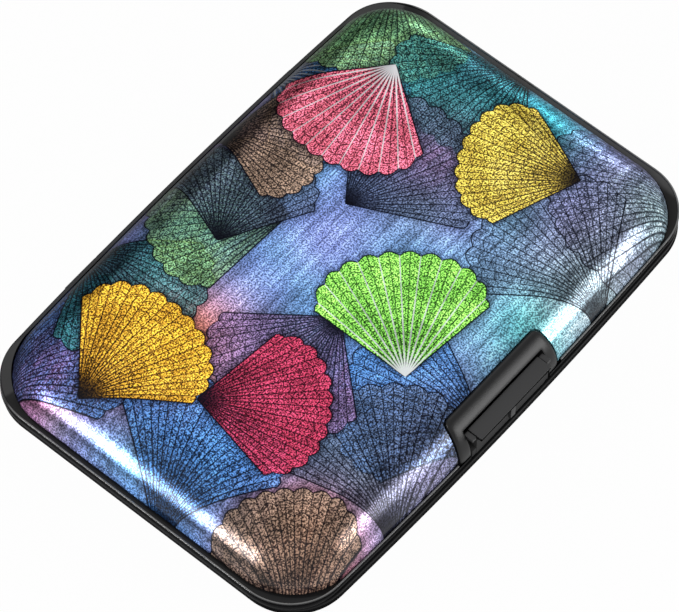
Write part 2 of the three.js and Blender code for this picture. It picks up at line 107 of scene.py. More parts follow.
def loop_columns():
    """Where each column of a closed outline sits: how far round its corner, how far along the side to the
    latch's stretch, its fixed x there, and the signs of its quarter. Columns run anticlockwise."""
    swing = np.concatenate([np.linspace(0, 1, CORNER_COLUMNS), np.ones(SIDE_COLUMNS + len(LATCH_COLUMNS))])
    slide_steps = np.arange(1, SIDE_COLUMNS + 1) / (SIDE_COLUMNS + 1)
    slide = np.concatenate([np.zeros(CORNER_COLUMNS), slide_steps, np.ones(len(LATCH_COLUMNS))])
    fixed = np.concatenate([np.full(CORNER_COLUMNS + SIDE_COLUMNS, LATCH_COLUMNS[0]), LATCH_COLUMNS])
    quarter = np.stack([swing, slide, fixed])
    half = np.concatenate([quarter, quarter[:, -2::-1]], axis=1)
    across = np.concatenate([np.ones(quarter.shape[1]), -np.ones(quarter.shape[1] - 1)])
    whole = np.concatenate([half, half], axis=1)
    sign_x = np.concatenate([across, -across])
    sign_y = np.concatenate([np.ones(half.shape[1]), -np.ones(half.shape[1])])
    return (*whole, sign_x, sign_y)


SWING, SLIDE, FIXED_X, SIGN_X, SIGN_Y = loop_columns()


def outline(half_length, half_width, corner, bow):
    """Plan of the case: straight short sides, long sides that are arcs of radius bow, and corners that are
    arcs tangent to both. The sizes may be arrays with one row per level."""
    bow_centre = half_width - bow
    corner_x = half_length - corner
    corner_y = np.sqrt((bow - corner) ** 2 - corner_x ** 2) + bow_centre
    turn = np.arctan2(corner_y - bow_centre, corner_x)
    corner_end = corner_x + corner * np.cos(turn)
    side_x = corner_end + (FIXED_X - corner_end) * SLIDE
    side_y = bow_centre + np.sqrt(bow ** 2 - side_x ** 2)
    in_corner = SWING < 1
    x = np.where(in_corner, corner_x + corner * np.cos(turn * SWING), side_x)
    y = np.where(in_corner, corner_y + corner * np.sin(turn * SWING), side_y)
    return x * SIGN_X, y * SIGN_Y


def notch_depth(x):
    """How far behind the front the notch's edge lies at x: a slanted side, a round corner, a top."""
    foot, top, back = (size + NOTCH_GAP for size in (ARCH_FOOT_HALF, ARCH_TOP_HALF, ARCH_DEPTH))
    across = np.abs(x)
    side = (foot - across) / (foot - top) * (back - ARCH_CORNER)
    into = np.clip(across - (top - ARCH_CORNER), 0, ARCH_CORNER)
    rounded = back - ARCH_CORNER + np.sqrt(ARCH_CORNER ** 2 - into ** 2)
    return np.where(across > top, np.clip(side, 0, None), rounded)


def cover_face(wall, notched):
    """One face of a cover: each row is an outline, drawn in along part of an ellipse from the rim to the
    flat. The rim leans in along the hinge and the ends, less so at the far right corner, and stands out a
    little in front. In the notch a column's first row starts on the notch's edge."""
    bow = BOW_RADIUS - (CASE_WIDTH / 2 - COVER_HALF_WIDTH) - wall
    roll_x, roll_y = ROLL_ALONG - wall, ROLL_ACROSS - wall
    sag = bow - np.sqrt(bow ** 2 - FIXED_X ** 2)
    reach = notch_depth(FIXED_X) - (CASE_WIDTH / 2 - COVER_HALF_WIDTH) - wall - sag
    in_front = (SIGN_Y < 0) & (SLIDE == 1) & (FIXED_X < ARCH_FOOT_HALF + NOTCH_GAP) & notched
    lean = np.where(SIGN_Y > 0, END_LEAN + (HINGE_LEAN - END_LEAN) * SWING, END_LEAN * (1 - SLIDE))
    lean = lean * (1 - CORNER_DIP * np.sin(math.pi * SWING) * (SIGN_X > 0) * (SIGN_Y > 0))
    start = np.where(in_front, np.arccos(1 - np.clip(reach / roll_y, 0, 1)), lean)
    share = np.linspace(0, 1, ROLL_ROWS)[:, None]
    angle = start + (math.pi / 2 - start) * share
    run = 1 - np.cos(angle) / np.cos(lean)
    x, y = outline(
        COVER_HALF_LENGTH - wall - roll_x * run,
        COVER_HALF_WIDTH - wall - roll_y * run,
        COVER_CORNER - wall - (COVER_CORNER - wall - FLAT_CORNER) * run,
        bow,
    )
    y = y - COVER_PROUD * (1 - run) * SWING * (SIGN_Y < 0)
    z = COVER_RIM + (PARTING - COVER_RIM - wall) * (np.sin(angle) - np.sin(lean)) / (1 - np.sin(lean))
    return np.stack([x, y, z], axis=-1)


def stood(name, data):
    """A new object in the scene, made of the data."""
    made = bpy.data.objects.new(name, data)
    bpy.context.scene.collection.objects.link(made)
    return made


def lofted(name, rows, closed=False, sharp=40, thin=False):
    """A piece through rows of points, each row a closed loop in millimetres from the parting plane. A closed
    piece joins its last row to the first. An open one is closed at both ends by a flat face, or by a strip of
    faces across a thin loop. Edges bent past sharp degrees stay crisp."""
    count, around = rows.shape[:2]
    here = np.arange(count * around).reshape(count, around)
    after = np.roll(here, -1, axis=0) if closed else here[1:]
    low = here if closed else here[:-1]
    quads = np.stack([low, np.roll(low, -1, 1), np.roll(after, -1, 1), after], axis=-1).reshape(-1, 4)
    faces = quads.tolist()
    ends = np.stack([here[0, ::-1], here[-1]])
    if thin:
        near, far = ends[:, :around // 2], ends[:, :around // 2 - 1:-1]
        across = np.stack([near[:, :-1], near[:, 1:], far[:, 1:], far[:, :-1]], axis=-1)
        faces += across.reshape(-1, 4).tolist()
    elif not closed:
        faces += ends.tolist()
    mesh = bpy.data.meshes.new(name)
    mesh.from_pydata(((rows + [0, 0, PARTING]) * MM).reshape(-1, 3).tolist(), [], faces)
    mesh.polygons.foreach_set("use_smooth", np.ones(len(mesh.polygons), bool))
    mesh.set_sharp_from_angle(angle=math.radians(sharp))
    return stood(name, mesh)


def fitted(piece, material, body, slot, *nodes):
    """Gives a piece its finish, the body it moves with and the modelled parts that it stands for."""
    piece.data.materials.append(material)
    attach(piece, body)
    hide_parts(*nodes)


class Value:
    """A shader socket that ordinary arithmetic builds on: each operator adds a Math node to its tree."""

    def __init__(self, tree, socket):
        self.tree, self.socket = tree, socket

    def node(self, kind, inputs, output=0, **settings):
        """An output of a new node, with its settings made first and then its sockets filled or linked."""
        made = self.tree.nodes.new(kind)
        for key, setting in settings.items():
            setattr(made, key, setting)
        for key, given in inputs.items():
            if isinstance(given, Value):
                self.tree.links.new(given.socket, made.inputs[key])
            else:
                made.inputs[key].default_value = given
        return Value(self.tree, made.outputs[output])

    def math(self, operation, *others):
        return self.node("ShaderNodeMath", dict(enumerate((self, *others))), operation=operation)

    def tint(self, low, high):
        """From one colour to another as this value goes from 0 to 1."""
        return self.node("ShaderNodeMix", {0: self, 6: low, 7: high}, 2, data_type="RGBA")

    def mix(self, factor, other):
        """This colour, changed to the other one by a factor from 0 to 1."""
        return factor.tint(self, other)

    def shade(self, factor):
        """This colour made lighter or darker by a number."""
        return self.node("ShaderNodeVectorMath", {0: self, "Scale": factor}, operation="SCALE")

    def between(self, low, high):
        """0 below low, 1 above high, smooth between them."""
        inputs = {"Value": self, "From Min": low, "From Max": high}
        return self.node("ShaderNodeMapRange", inputs, interpolation_type="SMOOTHSTEP")

    def __add__(self, other):
        return self.math("ADD", other)

    def __sub__(self, other):
        return self.math("SUBTRACT", other)

    def __rsub__(self, other):
        return self.node("ShaderNodeMath", {0: other, 1: self}, operation="SUBTRACT")

    def __mul__(self, other):
        return self.math("MULTIPLY", other)

    def __truediv__(self, other):
        return self.math("DIVIDE", other)

    def __pow__(self, other):
        return self.math("POWER", other)

    def __abs__(self):
        return self.math("ABSOLUTE")

    __radd__ = __add__
    __rmul__ = __mul__


def finish(name, **sockets):
    """A material with a Principled shader. Returns it, its shader's sockets and its Object coordinates."""
    material = bpy.data.materials.new(name)
    material.use_nodes = True
    tree = material.node_tree
    shader = tree.nodes["Principled BSDF"]
    for socket, given in sockets.items():
        shader.inputs[socket.replace("_", " ")].default_value = given
    place = Value(tree, tree.nodes.new("ShaderNodeTexCoord").outputs["Object"])
    return material, shader.inputs, place


def feed(socket, value):
    """Links a value to a shader's socket."""
    value.tree.links.new(value.socket, socket)


def millimetres(place):
    """Object coordinates as three numbers in millimetres."""
    parts = [place.node("ShaderNodeSeparateXYZ", {0: place}, axis) for axis in range(3)]
    return [part / MM for part in parts]


GROUND_BLUE = (0.105, 0.235, 0.52, 1)
GROUND_TEAL = (0.045, 0.33, 0.38, 1)
GROUND_VIOLET = (0.27, 0.20, 0.52, 1)
INK = (0.004, 0.004, 0.009, 1)
PALE = (0.62, 0.64, 0.66, 1)
GOLD = (0.68, 0.33, 0.03, 1)
AMBER = (0.62, 0.44, 0.06, 1)
LIME = (0.20, 0.60, 0.075, 1)
ROSE = (0.64, 0.11, 0.17, 1)
CRIMSON = (0.40, 0.035, 0.08, 1)
UMBER = (0.20, 0.135, 0.095, 1)
DUSK = (0.065, 0.090, 0.145, 1)
AZURE = (0.06, 0.20, 0.52, 1)
MOSS = (0.16, 0.30, 0.11, 1)
PLUM = (0.17, 0.105, 0.23, 1)
SPRUCE = (0.03, 0.16, 0.165, 1)

# Soft patches of light in the ground: middle x, middle y, radius, colour. The last three, pale patches
# # along the front roll, are painted highlight.
GLOWS_AND_PAINTED_HIGHLIGHTS = (
    (-44, -29, 11, (0.80, 0.17, 0.02, 1)),
    (38, 24, 15, (0.05, 0.46, 0.36, 1)),
    (-47, 26, 9, (0.55, 0.08, 0.24, 1)),
    (-30, 12, 12, (0.80, 0.20, 0.02, 1)),
    (44, -6, 14, (0.02, 0.36, 0.40, 1)),
    (12, -32, 12, (0.05, 0.42, 0.42, 1)),
    (4, 6, 13, (0.22, 0.26, 0.62, 1)),
    (28, 2, 10, (0.42, 0.14, 0.36, 1)),
    # The pale patches from here on are painted highlight along the front roll
    (46, -34, 10, (0.42, 0.64, 0.64, 1)),
    (27, -36, 12, (0.44, 0.60, 0.64, 1)),
    (-20, -35, 13, (0.46, 0.38, 0.60, 1)),
)
# Fans from the lowest layer up: hinge x and y, heading, reach, half spread, colour, cover, line colour
FANS = (
    (-54, 34, -30, 27, 46, AZURE, 0.55, INK),
    (-24, 38, -104, 25, 50, SPRUCE, 0.66, INK),
    (2, 14, 128, 25, 50, MOSS, 0.55, INK),
    (26, 38, -92, 26, 50, AZURE, 0.66, PALE),
    (55, 34, 212, 26, 48, MOSS, 0.70, INK),
    (56, 4, 168, 26, 48, SPRUCE, 0.60, INK),
    (53, -36, 138, 27, 48, PLUM, 0.16, INK),
    (24, -38, 78, 26, 50, DUSK, 0.18, INK),
    (-8, -38, 112, 26, 50, AZURE, 0.5, INK),
    (-32, -38, 54, 26, 50, DUSK, 0.48, INK),
    (-56, -6, 8, 26, 48, AZURE, 0.66, INK),
    (-8, -6, 178, 25, 50, PLUM, 0.62, INK),
    (10, 8, -14, 26, 50, DUSK, 0.60, INK),
    (-10, 20, 20, 22, 50, DUSK, 0.55, INK),
    (-55, -36, 50, 22, 48, UMBER, 0.84, INK),
    (8, 36, -64, 21, 48, UMBER, 0.86, INK),
    (40, -20, 112, 22, 48, AMBER, 0.86, INK),
    (-36, 2, -54, 23, 48, CRIMSON, 0.86, INK),
    (38, 20, 186, 24, 48, ROSE, 0.92, PALE),
    (-48, 18, -8, 24, 48, GOLD, 0.95, INK),
    (-10, -22, 42, 25, 48, LIME, 0.95, PALE),
)
FAN_RIBS = 11
RING_PITCH = 2.3
SCALLOP = 0.035
RIM_LINE = 0.20
RIB_LINE = 0.13
SOFT_EDGE = 0.05
CAST_SHADE = 1.8
NET_CELL = 0.95
FLATTEN = 1e6
# Painted shade along the hinge: its strength, where it starts and where it is full
HINGE_PAINTED_SHADE, HINGE_PAINTED_SHADE_FROM, HINGE_PAINTED_SHADE_FULL = 0.62, 26, 34.5
# A painted dark reflection along the left roll: its strength, its distance left of the middle, its width
STRIPE_PAINTED_SHADE, PAINTED_STRIPE_X, PAINTED_STRIPE_WIDTH = 0.6, 52.2, 0.55
PRINT_GLANCE = (0.3, 0.3, 0.3, 1)
BARE_OVER_RIM = (0.8, 3.4)
LACQUER_BACK, LACQUER_RIGHT, LACQUER_UNDER_TOP = (14, 26), (34, 46), (2, 0.4)

print_sheet, print_sockets, print_place = finish(
    "printed_aluminium", Roughness=0.3, Specular_IOR_Level=0.15, Specular_Tint=PRINT_GLANCE,
    Coat_Roughness=0.25)
sheet_x, sheet_y, sheet_z = millimetres(print_place)


def noise(place, scale, detail=2.0, stretch=(1, 1, 1)):
    """Smooth noise from 0 to 1 with about scale waves to the millimetre, stretched along the axes."""
    moved = place.node("ShaderNodeMapping", {"Vector": place, "Scale": stretch})
    inputs = {"Vector": moved, "Scale": scale / MM, "Detail": detail}
    return place.node("ShaderNodeTexNoise", inputs)


def mottled(name, colour, low, spread, grain, **sockets):
    """A material of one colour whose roughness drifts with a grain of noise, from low up by the spread."""
    material, inputs, place = finish(name, Base_Color=colour, **sockets)
    feed(inputs["Roughness"], noise(place, *grain) * spread + low)
    return material


def roughened(inputs, place, strength, depth, *grain):
    """Feeds a shader's Normal with fine bumps, a depth in millimetres, from a grain of noise."""
    height = noise(place, *grain)
    bumps = {"Height": height, "Strength": strength, "Distance": depth * MM}
    feed(inputs["Normal"], place.node("ShaderNodeBump", bumps))


def fan_over(colour, place, net, glitter, hinge_x, hinge_y, heading, reach, spread, tint, cover, ink):
    """Lays one pleated fan over a colour: inside it the distance to the hinge is under a scalloped reach, and
    the angle off the heading is under its half spread. Ink runs along the ribs, the rim and the net, each
    pleat darkens to one side, and the fan throws a soft shade on what lies under it."""
    half = math.radians(spread)
    off_hinge = place.node("ShaderNodeMapping", {
        "Vector": place, "Location": (hinge_x * MM, hinge_y * MM, 0),
        "Rotation": (0, 0, math.radians(heading)), "Scale": (MM, MM, FLATTEN),
    }, vector_type="TEXTURE")
    along, aside = (place.node("ShaderNodeSeparateXYZ", {0: off_hinge}, axis) for axis in range(2))
    radius = off_hinge.node("ShaderNodeVectorMath", {0: off_hinge}, 1, operation="LENGTH")
    angle = aside.math("ARCTAN2", along)
    ribs = angle * (FAN_RIBS / (2 * half))
    pleat = ribs.math("FRACT")
    off_rib = 0.5 - abs(pleat - 0.5)
    swell = (off_rib * math.pi).math("SINE") * SCALLOP + (1 - SCALLOP)
    edge = (swell - (angle / half) ** 4 * 0.2) * reach - radius
    inside = edge.math("MINIMUM", (half - abs(angle)) * radius)
    mask = inside.between(-SOFT_EDGE, SOFT_EDGE)
    thin = RIB_LINE * (1.25 - radius / reach * 0.6)
    rib = 1 - (off_rib * radius * (2 * half / FAN_RIBS) - thin).between(-SOFT_EDGE, SOFT_EDGE)
    rim = 1 - abs(inside).between(RIM_LINE * 0.3, RIM_LINE)
    ring = (edge / RING_PITCH).math("FRACT")
    off_ring = (0.5 - abs(ring - 0.5)) * RING_PITCH
    off_crease = abs(pleat - 0.5) * radius * (2 * half / FAN_RIBS)
    fine = (1 - off_ring.math("MINIMUM", off_crease).between(0.04, 0.16)) * 0.85
    light = ((radius / reach).between(0, 0.8) * 0.5 + 0.7) * (1.25 - pleat * 0.4)
    under = colour.mix(inside.between(-CAST_SHADE, 0.2) * (cover * 0.7), INK)
    lit = light.node("ShaderNodeVectorMath", {0: tint[:3], "Scale": light * glitter}, operation="SCALE")
    body = under.mix(mask * cover, lit)
    netted = body.mix((net * 0.45).math("MAXIMUM", fine) * mask, INK).mix(rim * 0.95, INK)
    return netted.mix(rib * mask * 0.85, ink)


def printed_colour(place, x, y):
    """The print: a blue ground drifting to teal and violet, glows, brushed strokes, fans and fine glitter.
    The pale glows along the front roll are painted highlight. Painted shade darkens it along the hinge,
    and a painted dark reflection darkens a narrow stripe along the left roll."""
    colour = noise(place, 0.028).between(0.42, 0.62).tint(GROUND_BLUE, GROUND_TEAL)
    colour = colour.mix(noise(place, 0.021, 1.0).between(0.46, 0.66), GROUND_VIOLET)
    for middle_x, middle_y, radius, glow in GLOWS_AND_PAINTED_HIGHLIGHTS:
        off_x, off_y = (x - middle_x) / radius, (y - middle_y) / radius
        share = ((off_x * off_x + off_y * off_y) * -1.0).math("EXPONENT")
        colour = colour.mix(share * 0.85, glow)
    strokes = noise(place, 0.5, 3.0, (0.10, 2.4, 1))
    colour = colour.shade(strokes.between(0.3, 0.72) * 0.9 + 0.75)
    cells = {"Vector": place, "Scale": 1 / (NET_CELL * MM)}
    net = 1 - place.node("ShaderNodeTexVoronoi", cells, feature="DISTANCE_TO_EDGE").between(0.02, 0.08)
    colour = colour.mix(net * 0.12, INK)
    glitter = noise(place, 3.3, 1.0).between(0.40, 0.62)
    colour = colour.shade(glitter * 1.45 + 0.45)
    for fan in FANS:
        colour = fan_over(colour, place, net, glitter * 2.4 + 0.2, *fan)
    mottle = noise(place, 0.16, 2.0).between(0.3, 0.7) * 0.6 + 0.75
    # Painted shade along the hinge edge of the print
    painted_hinge_shade = 1 - y.between(HINGE_PAINTED_SHADE_FROM, HINGE_PAINTED_SHADE_FULL) * HINGE_PAINTED_SHADE
    # A narrow stripe of painted dark reflection along the left roll
    off_painted_stripe = (x + PAINTED_STRIPE_X) / PAINTED_STRIPE_WIDTH
    painted_stripe_shade = 1 - (off_painted_stripe * off_painted_stripe * -1.0).math("EXPONENT") * STRIPE_PAINTED_SHADE
    return colour.shade(mottle * painted_hinge_shade * painted_stripe_shade)


feed(print_sockets["Base Color"], printed_colour(print_place, sheet_x, sheet_y))
over_rim = (PARTING + COVER_RIM + rise for rise in BARE_OVER_RIM)
feed(print_sockets["Metallic"], sheet_z.between(*over_rim) * 0.5 + 0.22)
lacquer = (1 - sheet_y.between(*LACQUER_BACK)) * (1 - sheet_x.between(*LACQUER_RIGHT))
lacquer = lacquer * (1 - sheet_z.between(*(2 * PARTING - drop for drop in LACQUER_UNDER_TOP)))
feed(print_sockets["Coat Weight"], lacquer * 0.6)
roughened(print_sockets, print_place, 0.12, 0.04, 3.0, 1.0)

BRUSHED = (0.52, 0.55, 0.58, 1)
BRUSHING = (0.6, 3.0, (0.02, 6, 1))
plain_sheet = mottled("plain_aluminium", BRUSHED, 0.28, 0.16, BRUSHING, Metallic=1.0)

lid_faces = np.concatenate([cover_face(COVER_WALL, True)[::-1], cover_face(0, True)])
lid_cover = lofted("lid_cover_sheet", lid_faces)
fitted(lid_cover, print_sheet, "lid", "printed_aluminium", "lid_cover")
lid_cover.data.materials.append(plain_sheet)
inner_faces = np.arange(len(lid_cover.data.polygons)) < (ROLL_ROWS - 1) * len(SWING)
inner_faces[-2] = True
lid_cover.data.polygons.foreach_set("material_index", inner_faces.astype(np.int32))

# Base cover. The same pan turned over, with no notch, in plain brushed aluminium. Its flat is what the case
# lies on, and its rim stands in the base frame as the lid's does in the lid frame.
def turned_over(rows):
    """The same rows under the parting plane, each loop reversed so that its faces still point out."""
    return rows[:, ::-1] * [1, 1, -1]


base_faces = np.concatenate([cover_face(COVER_WALL, False)[::-1], cover_face(0, False)])
base_cover = lofted("base_cover_sheet", turned_over(base_faces))
fitted(base_cover, plain_sheet, "base", "plain_aluminium", "base_cover")

# Lid frame. A ring of polished black plastic round the lid cover, with a round bead along its upper edge
# and a groove under it. It is open in front for the latch, and carries the hinge's long middle knuckle.
FRAME_CORNER = 11
UPSTAND_INSET = 1.2
UPSTAND_WALL = 0.8
UPSTAND_TOP = 2.65
WALL_INSET = 0.15
WALL_TOP = 0.95
PARTING_EDGE = 0.12
EDGE_MIDDLE = (0.03, 0.04)
SHOULDER_CURVE = ((0.17, 1.05), (0.24, 1.12), (0.36, 1.18))
GROOVE = (0.42, 1.22)
BEAD_MIDDLE = (0.2, 1.68)
BEAD_RADIUS = 0.2
BEAD_ARC = (240, -10)
LID_BEAD_INSET = 0.15
LIP_INSET = 0.62
LIP_HEIGHT = 1.55
COVER_GAP = 0.06
WINDOW_HALF = 10.6
LIP_CUT_HALF = 13.7
HALF_COLUMN = 0.05
HINGE_Y = (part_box("hinge_pin")[0].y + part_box("hinge_pin")[1].y) / 2 / MM
BARREL_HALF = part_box("hinge_pin")[1].x / MM
ROD_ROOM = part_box("hinge_pin")[1].y / MM - HINGE_Y + 0.1
BARREL_SPLIT = 22
BARREL_RADIUS = 0.85
BARREL_CROWN = 0.25
BARREL_GAP = 0.3
KNUCKLE_EDGE = 0.12
SWING_RELIEF = math.radians(34)
RAIL_RISE = 1.6
RAIL_FALL = 0.25
RAIL_TURN = math.pi * 0.6
RAIL_FROM = 29.5
RAIL_FULL = 36


def arc(middle, radius, start, end, count):
    """Points of a circle from one angle to another, in degrees."""
    angle = np.radians(np.linspace(start, end, count))
    return np.column_stack([middle[0] + radius * np.cos(angle), middle[1] + radius * np.sin(angle)])


def frame_wall():
    """Lower half of a frame's outer side, as insets from its outline and heights: an edge and a wall."""
    rise = np.array([0, EDGE_MIDDLE[1], PARTING_EDGE, WALL_TOP / 2, WALL_TOP])
    return np.column_stack([WALL_INSET + np.array([PARTING_EDGE, EDGE_MIDDLE[0], 0, 0, 0]), rise])


def beaded_section():
    """The outer side on three sides of the case: wall, groove and a round bead."""
    bead = arc(BEAD_MIDDLE, BEAD_RADIUS, *BEAD_ARC, 17)
    return np.concatenate([frame_wall(), [*SHOULDER_CURVE, GROOVE], bead])


def rail_section(count):
    """The outer side along the hinge, where the wall rises to a rounded rail: part of an ellipse."""
    wall = frame_wall()
    turn = np.linspace(0, RAIL_TURN, count - len(wall) + 1)[1:]
    inset = WALL_INSET + (LIP_INSET - WALL_INSET) / 2 * (1 - np.cos(turn))
    return np.concatenate([wall, np.column_stack([inset, WALL_TOP + RAIL_RISE * np.sin(turn)])])


def frame_outline(inset, end_step):
    """The frame's plan, drawn in by an inset all round and by a step at both ends."""
    half_length = CASE_LENGTH / 2 - end_step - inset
    return outline(half_length, CASE_WIDTH / 2 - inset, FRAME_CORNER - inset, BOW_RADIUS - inset)


def cover_outline(inset):
    """The cover's rim in plan, drawn in by an inset."""
    bow = BOW_RADIUS - (CASE_WIDTH / 2 - COVER_HALF_WIDTH)
    return outline(COVER_HALF_LENGTH - inset, COVER_HALF_WIDTH - inset, COVER_CORNER - inset, bow - inset)


def drawn_round(plan, heights):
    """Loops in plan, each at its height, as an array of rows by columns by three."""
    return np.stack([*plan, np.broadcast_to(np.reshape(heights, (-1, 1)), plan[0].shape)], -1)


def frame_ring(end_step, bead_inset):
    """Every station's section as a loop: the outer side, which turns from bead to rail in the back corners,
    the ledge, the upstand inside the cover, and a closely stepped underside. Stations by points by three."""
    beaded = beaded_section()
    rail = rail_section(len(beaded))
    on_bead = (beaded[:, 1] > GROOVE[1])[:, None]
    bead_in = bead_inset * on_bead * np.where(SIGN_X < 0, 1, SWING * (SIGN_Y < 0))
    beaded_side = drawn_round(frame_outline(beaded[:, :1] + bead_in, end_step), beaded[:, 1])
    rail_side = drawn_round(frame_outline(rail[:, :1], end_step), rail[:, 1])
    rise = np.clip((frame_outline(0, end_step)[1] - RAIL_FROM) / (RAIL_FULL - RAIL_FROM), 0, 1)
    rise = rise ** 2 * (3 - 2 * rise)
    outer = beaded_side + (rail_side - beaded_side) * rise[:, None]
    inside = UPSTAND_INSET + UPSTAND_WALL
    seat = np.array([
        [-COVER_GAP, LIP_HEIGHT], [-COVER_GAP, COVER_RIM], [UPSTAND_INSET, COVER_RIM],
        [UPSTAND_INSET, UPSTAND_TOP], [inside, UPSTAND_TOP], [inside, 0],
    ])
    inner = drawn_round(cover_outline(seat[:, :1]), seat[:, 1])
    inner[0, :, 2] += (WALL_TOP + RAIL_RISE - RAIL_FALL - LIP_HEIGHT) * rise
    inner[:2, :, 1] -= COVER_PROUD * SWING * (SIGN_Y < 0)
    share = np.linspace(0, 1, 26)[1:-1, None, None]
    under = inner[-1] + (outer[0] - inner[-1]) * share
    return np.concatenate([outer, inner, under]).transpose(1, 0, 2)


def barrel_radius(x):
    """The barrel's crown: fullest in the middle of the case."""
    return BARREL_RADIUS + BARREL_CROWN * (1 - (x / BARREL_HALF) ** 2)


def swung_clear(ring, taken):
    """Lifts the underside behind the hinge line to the wedge that the lid swings through, and over the round
    room for the rod, or for the other frame's knuckles in the stretches where taken is true."""
    x, y, z = np.moveaxis(ring, -1, 0)
    z = np.maximum(z, np.clip(y - HINGE_Y, 0, None) * math.tan(SWING_RELIEF))
    rod_room = np.where(np.abs(x) < BARREL_HALF + BARREL_GAP, ROD_ROOM, 0)
    room = np.where(taken(np.abs(x)), barrel_radius(x) + BARREL_GAP, rod_room)
    z = np.maximum(z, np.sqrt(np.clip(room ** 2 - (y - HINGE_Y) ** 2, 0, None)))
    return np.stack([x, y, z], -1)


def along_x(x, sections):
    """Sections of [y, z] points as rows of points, with an x for each section or for each of its points."""
    return np.concatenate([np.broadcast_to(x, (*sections.shape[:2], 1)), sections], -1)


def turned(name, x, radius, middle, count):
    """A round bar along X: at every x a circle of its own radius about the middle [y, z]."""
    angle = np.linspace(0, 2 * math.pi, count, endpoint=False)
    circle = np.column_stack([np.cos(angle), np.sin(angle)])
    return lofted(name, along_x(x[:, None, None], middle + radius[:, None, None] * circle))


def knuckle(name, start, end):
    """A stretch of the barrel round the hinge line, drawn in a little at both ends."""
    x = np.concatenate([[start], np.linspace(start + KNUCKLE_EDGE, end - KNUCKLE_EDGE, 25), [end]])
    radius = barrel_radius(x)
    radius[[0, -1]] -= KNUCKLE_EDGE
    return turned(name, x, radius, (HINGE_Y, 0), 48)


FRAME_BLACK = (0.006, 0.006, 0.0065, 1)
# Grey of the painted highlight and painted sheen on the frame's bead
BEAD_PAINTED_HIGHLIGHT = (0.14, 0.14, 0.14, 1)
frame_plastic, frame_sockets, frame_place = finish(
    "frame_plastic", Specular_IOR_Level=0.02, Coat_Roughness=0.05)
frame_x, frame_y, frame_z = millimetres(frame_place)
frame_flow = noise(frame_place, 0.35)
feed(frame_sockets["Roughness"], frame_flow * 0.12 + 0.2)
bead_side = frame_z.between(PARTING + GROOVE[1] + 0.2, PARTING + BEAD_MIDDLE[1])
bead_top = frame_z.between(PARTING + BEAD_MIDDLE[1], PARTING + BEAD_MIDDLE[1] + 0.08)
feed(frame_sockets["Coat Weight"], bead_side * 0.35 + bead_top * 0.65)
# A painted highlight along the bead's crown, except along the hinge, and a painted sheen on the bead's side
# along the hinge and at the right end, lighten the black, drifting with the noise
bead_crown = frame_z.between(PARTING + BEAD_MIDDLE[1] + 0.1, PARTING + BEAD_MIDDLE[1] + 0.19)
HINGE_PAINTED_SHEEN, END_PAINTED_SHEEN = 0.28, 0.5
HINGE_SHEEN_FADE, END_SHEEN_FADE = (38, 48), (22, 29)
hinge_side = frame_y.between(RAIL_FROM - 1.5, RAIL_FROM)
right_end = frame_x.between(CASE_LENGTH / 2 - 3, CASE_LENGTH / 2 - 1.5)
right_end = right_end * (1 - frame_y.between(*END_SHEEN_FADE))
hinge_painted_sheen = hinge_side * (1 - abs(frame_x).between(*HINGE_SHEEN_FADE)) * HINGE_PAINTED_SHEEN
painted_sheen_side = bead_side * hinge_painted_sheen.math("MAXIMUM", right_end * END_PAINTED_SHEEN)
bead_painted_highlight = (bead_crown * (1 - hinge_side)).math("MAXIMUM", painted_sheen_side) * (frame_flow * 0.5 + 0.75)
feed(frame_sockets["Base Color"], bead_painted_highlight.tint(FRAME_BLACK, BEAD_PAINTED_HIGHLIGHT))


def framed(piece, body):
    """Fits a piece of the black frame of the lid or of the base."""
    fitted(piece, frame_plastic, body, "frame_plastic", f"{body}_frame")


lid_ring = swung_clear(
    frame_ring(0, LID_BEAD_INSET),
    lambda x: (x > BARREL_SPLIT - BARREL_GAP) & (x < BARREL_HALF + BARREL_GAP))
front_middle = (SIGN_Y < 0) & (SLIDE == 1)
lip_cut = front_middle & (FIXED_X < LIP_CUT_HALF + HALF_COLUMN)
lid_ring[lip_cut, :, 2] = np.minimum(lid_ring[lip_cut, :, 2], COVER_RIM)
latch_gap = front_middle & (FIXED_X < WINDOW_HALF - HALF_COLUMN)
gap_end = np.flatnonzero(latch_gap)[-1] + 1
lid_ring = np.roll(lid_ring, -gap_end, axis=0)[:len(SWING) - np.count_nonzero(latch_gap)]
framed(lofted("lid_frame_ring", lid_ring[:, ::-1]), "lid")
framed(knuckle("lid_knuckle", BARREL_GAP - BARREL_SPLIT, BARREL_SPLIT - BARREL_GAP), "lid")

# Base frame. The same moulded ring turned over, whole in front, where a thin skin hides the latch's pocket.
# It carries the two end knuckles of the hinge, and two cheeks and a wall that hold the latch's rod and
# strip.
POCKET_SKIN = 1.3
POCKET_BACK = 4.9
POCKET_WALL = 1.2
CHEEK_WIDTH = 2.5
POCKET_DEPTH = 4.2
POCKET_RIM = 0.3
CHEEK_FRONT = 2.45
BARREL_SHELF = 0.1
BASE_PROUD = 0.22
BLOCK_EDGE = 0.15


def block(name, low, high):
    """A box with narrow bevelled edges, as four rectangles stacked up."""
    edge = BLOCK_EDGE
    levels = np.array([[low[2], edge], [low[2] + edge, 0], [high[2] - edge, 0], [high[2], edge]])
    corners = np.array([[0, 0], [1, 0], [1, 1], [0, 1]])
    size = np.subtract(high[:2], low[:2])
    rows = [
        np.column_stack([low[:2] + inset + corners * (size - 2 * inset), np.full(4, z)])
        for z, inset in levels
    ]
    return lofted(name, np.stack(rows), sharp=20)


def left_and_right(inner, outer):
    """Two stretches that mirror each other, each with its side's name, its start and its end."""
    return ("left", -outer, -inner), ("right", inner, outer)


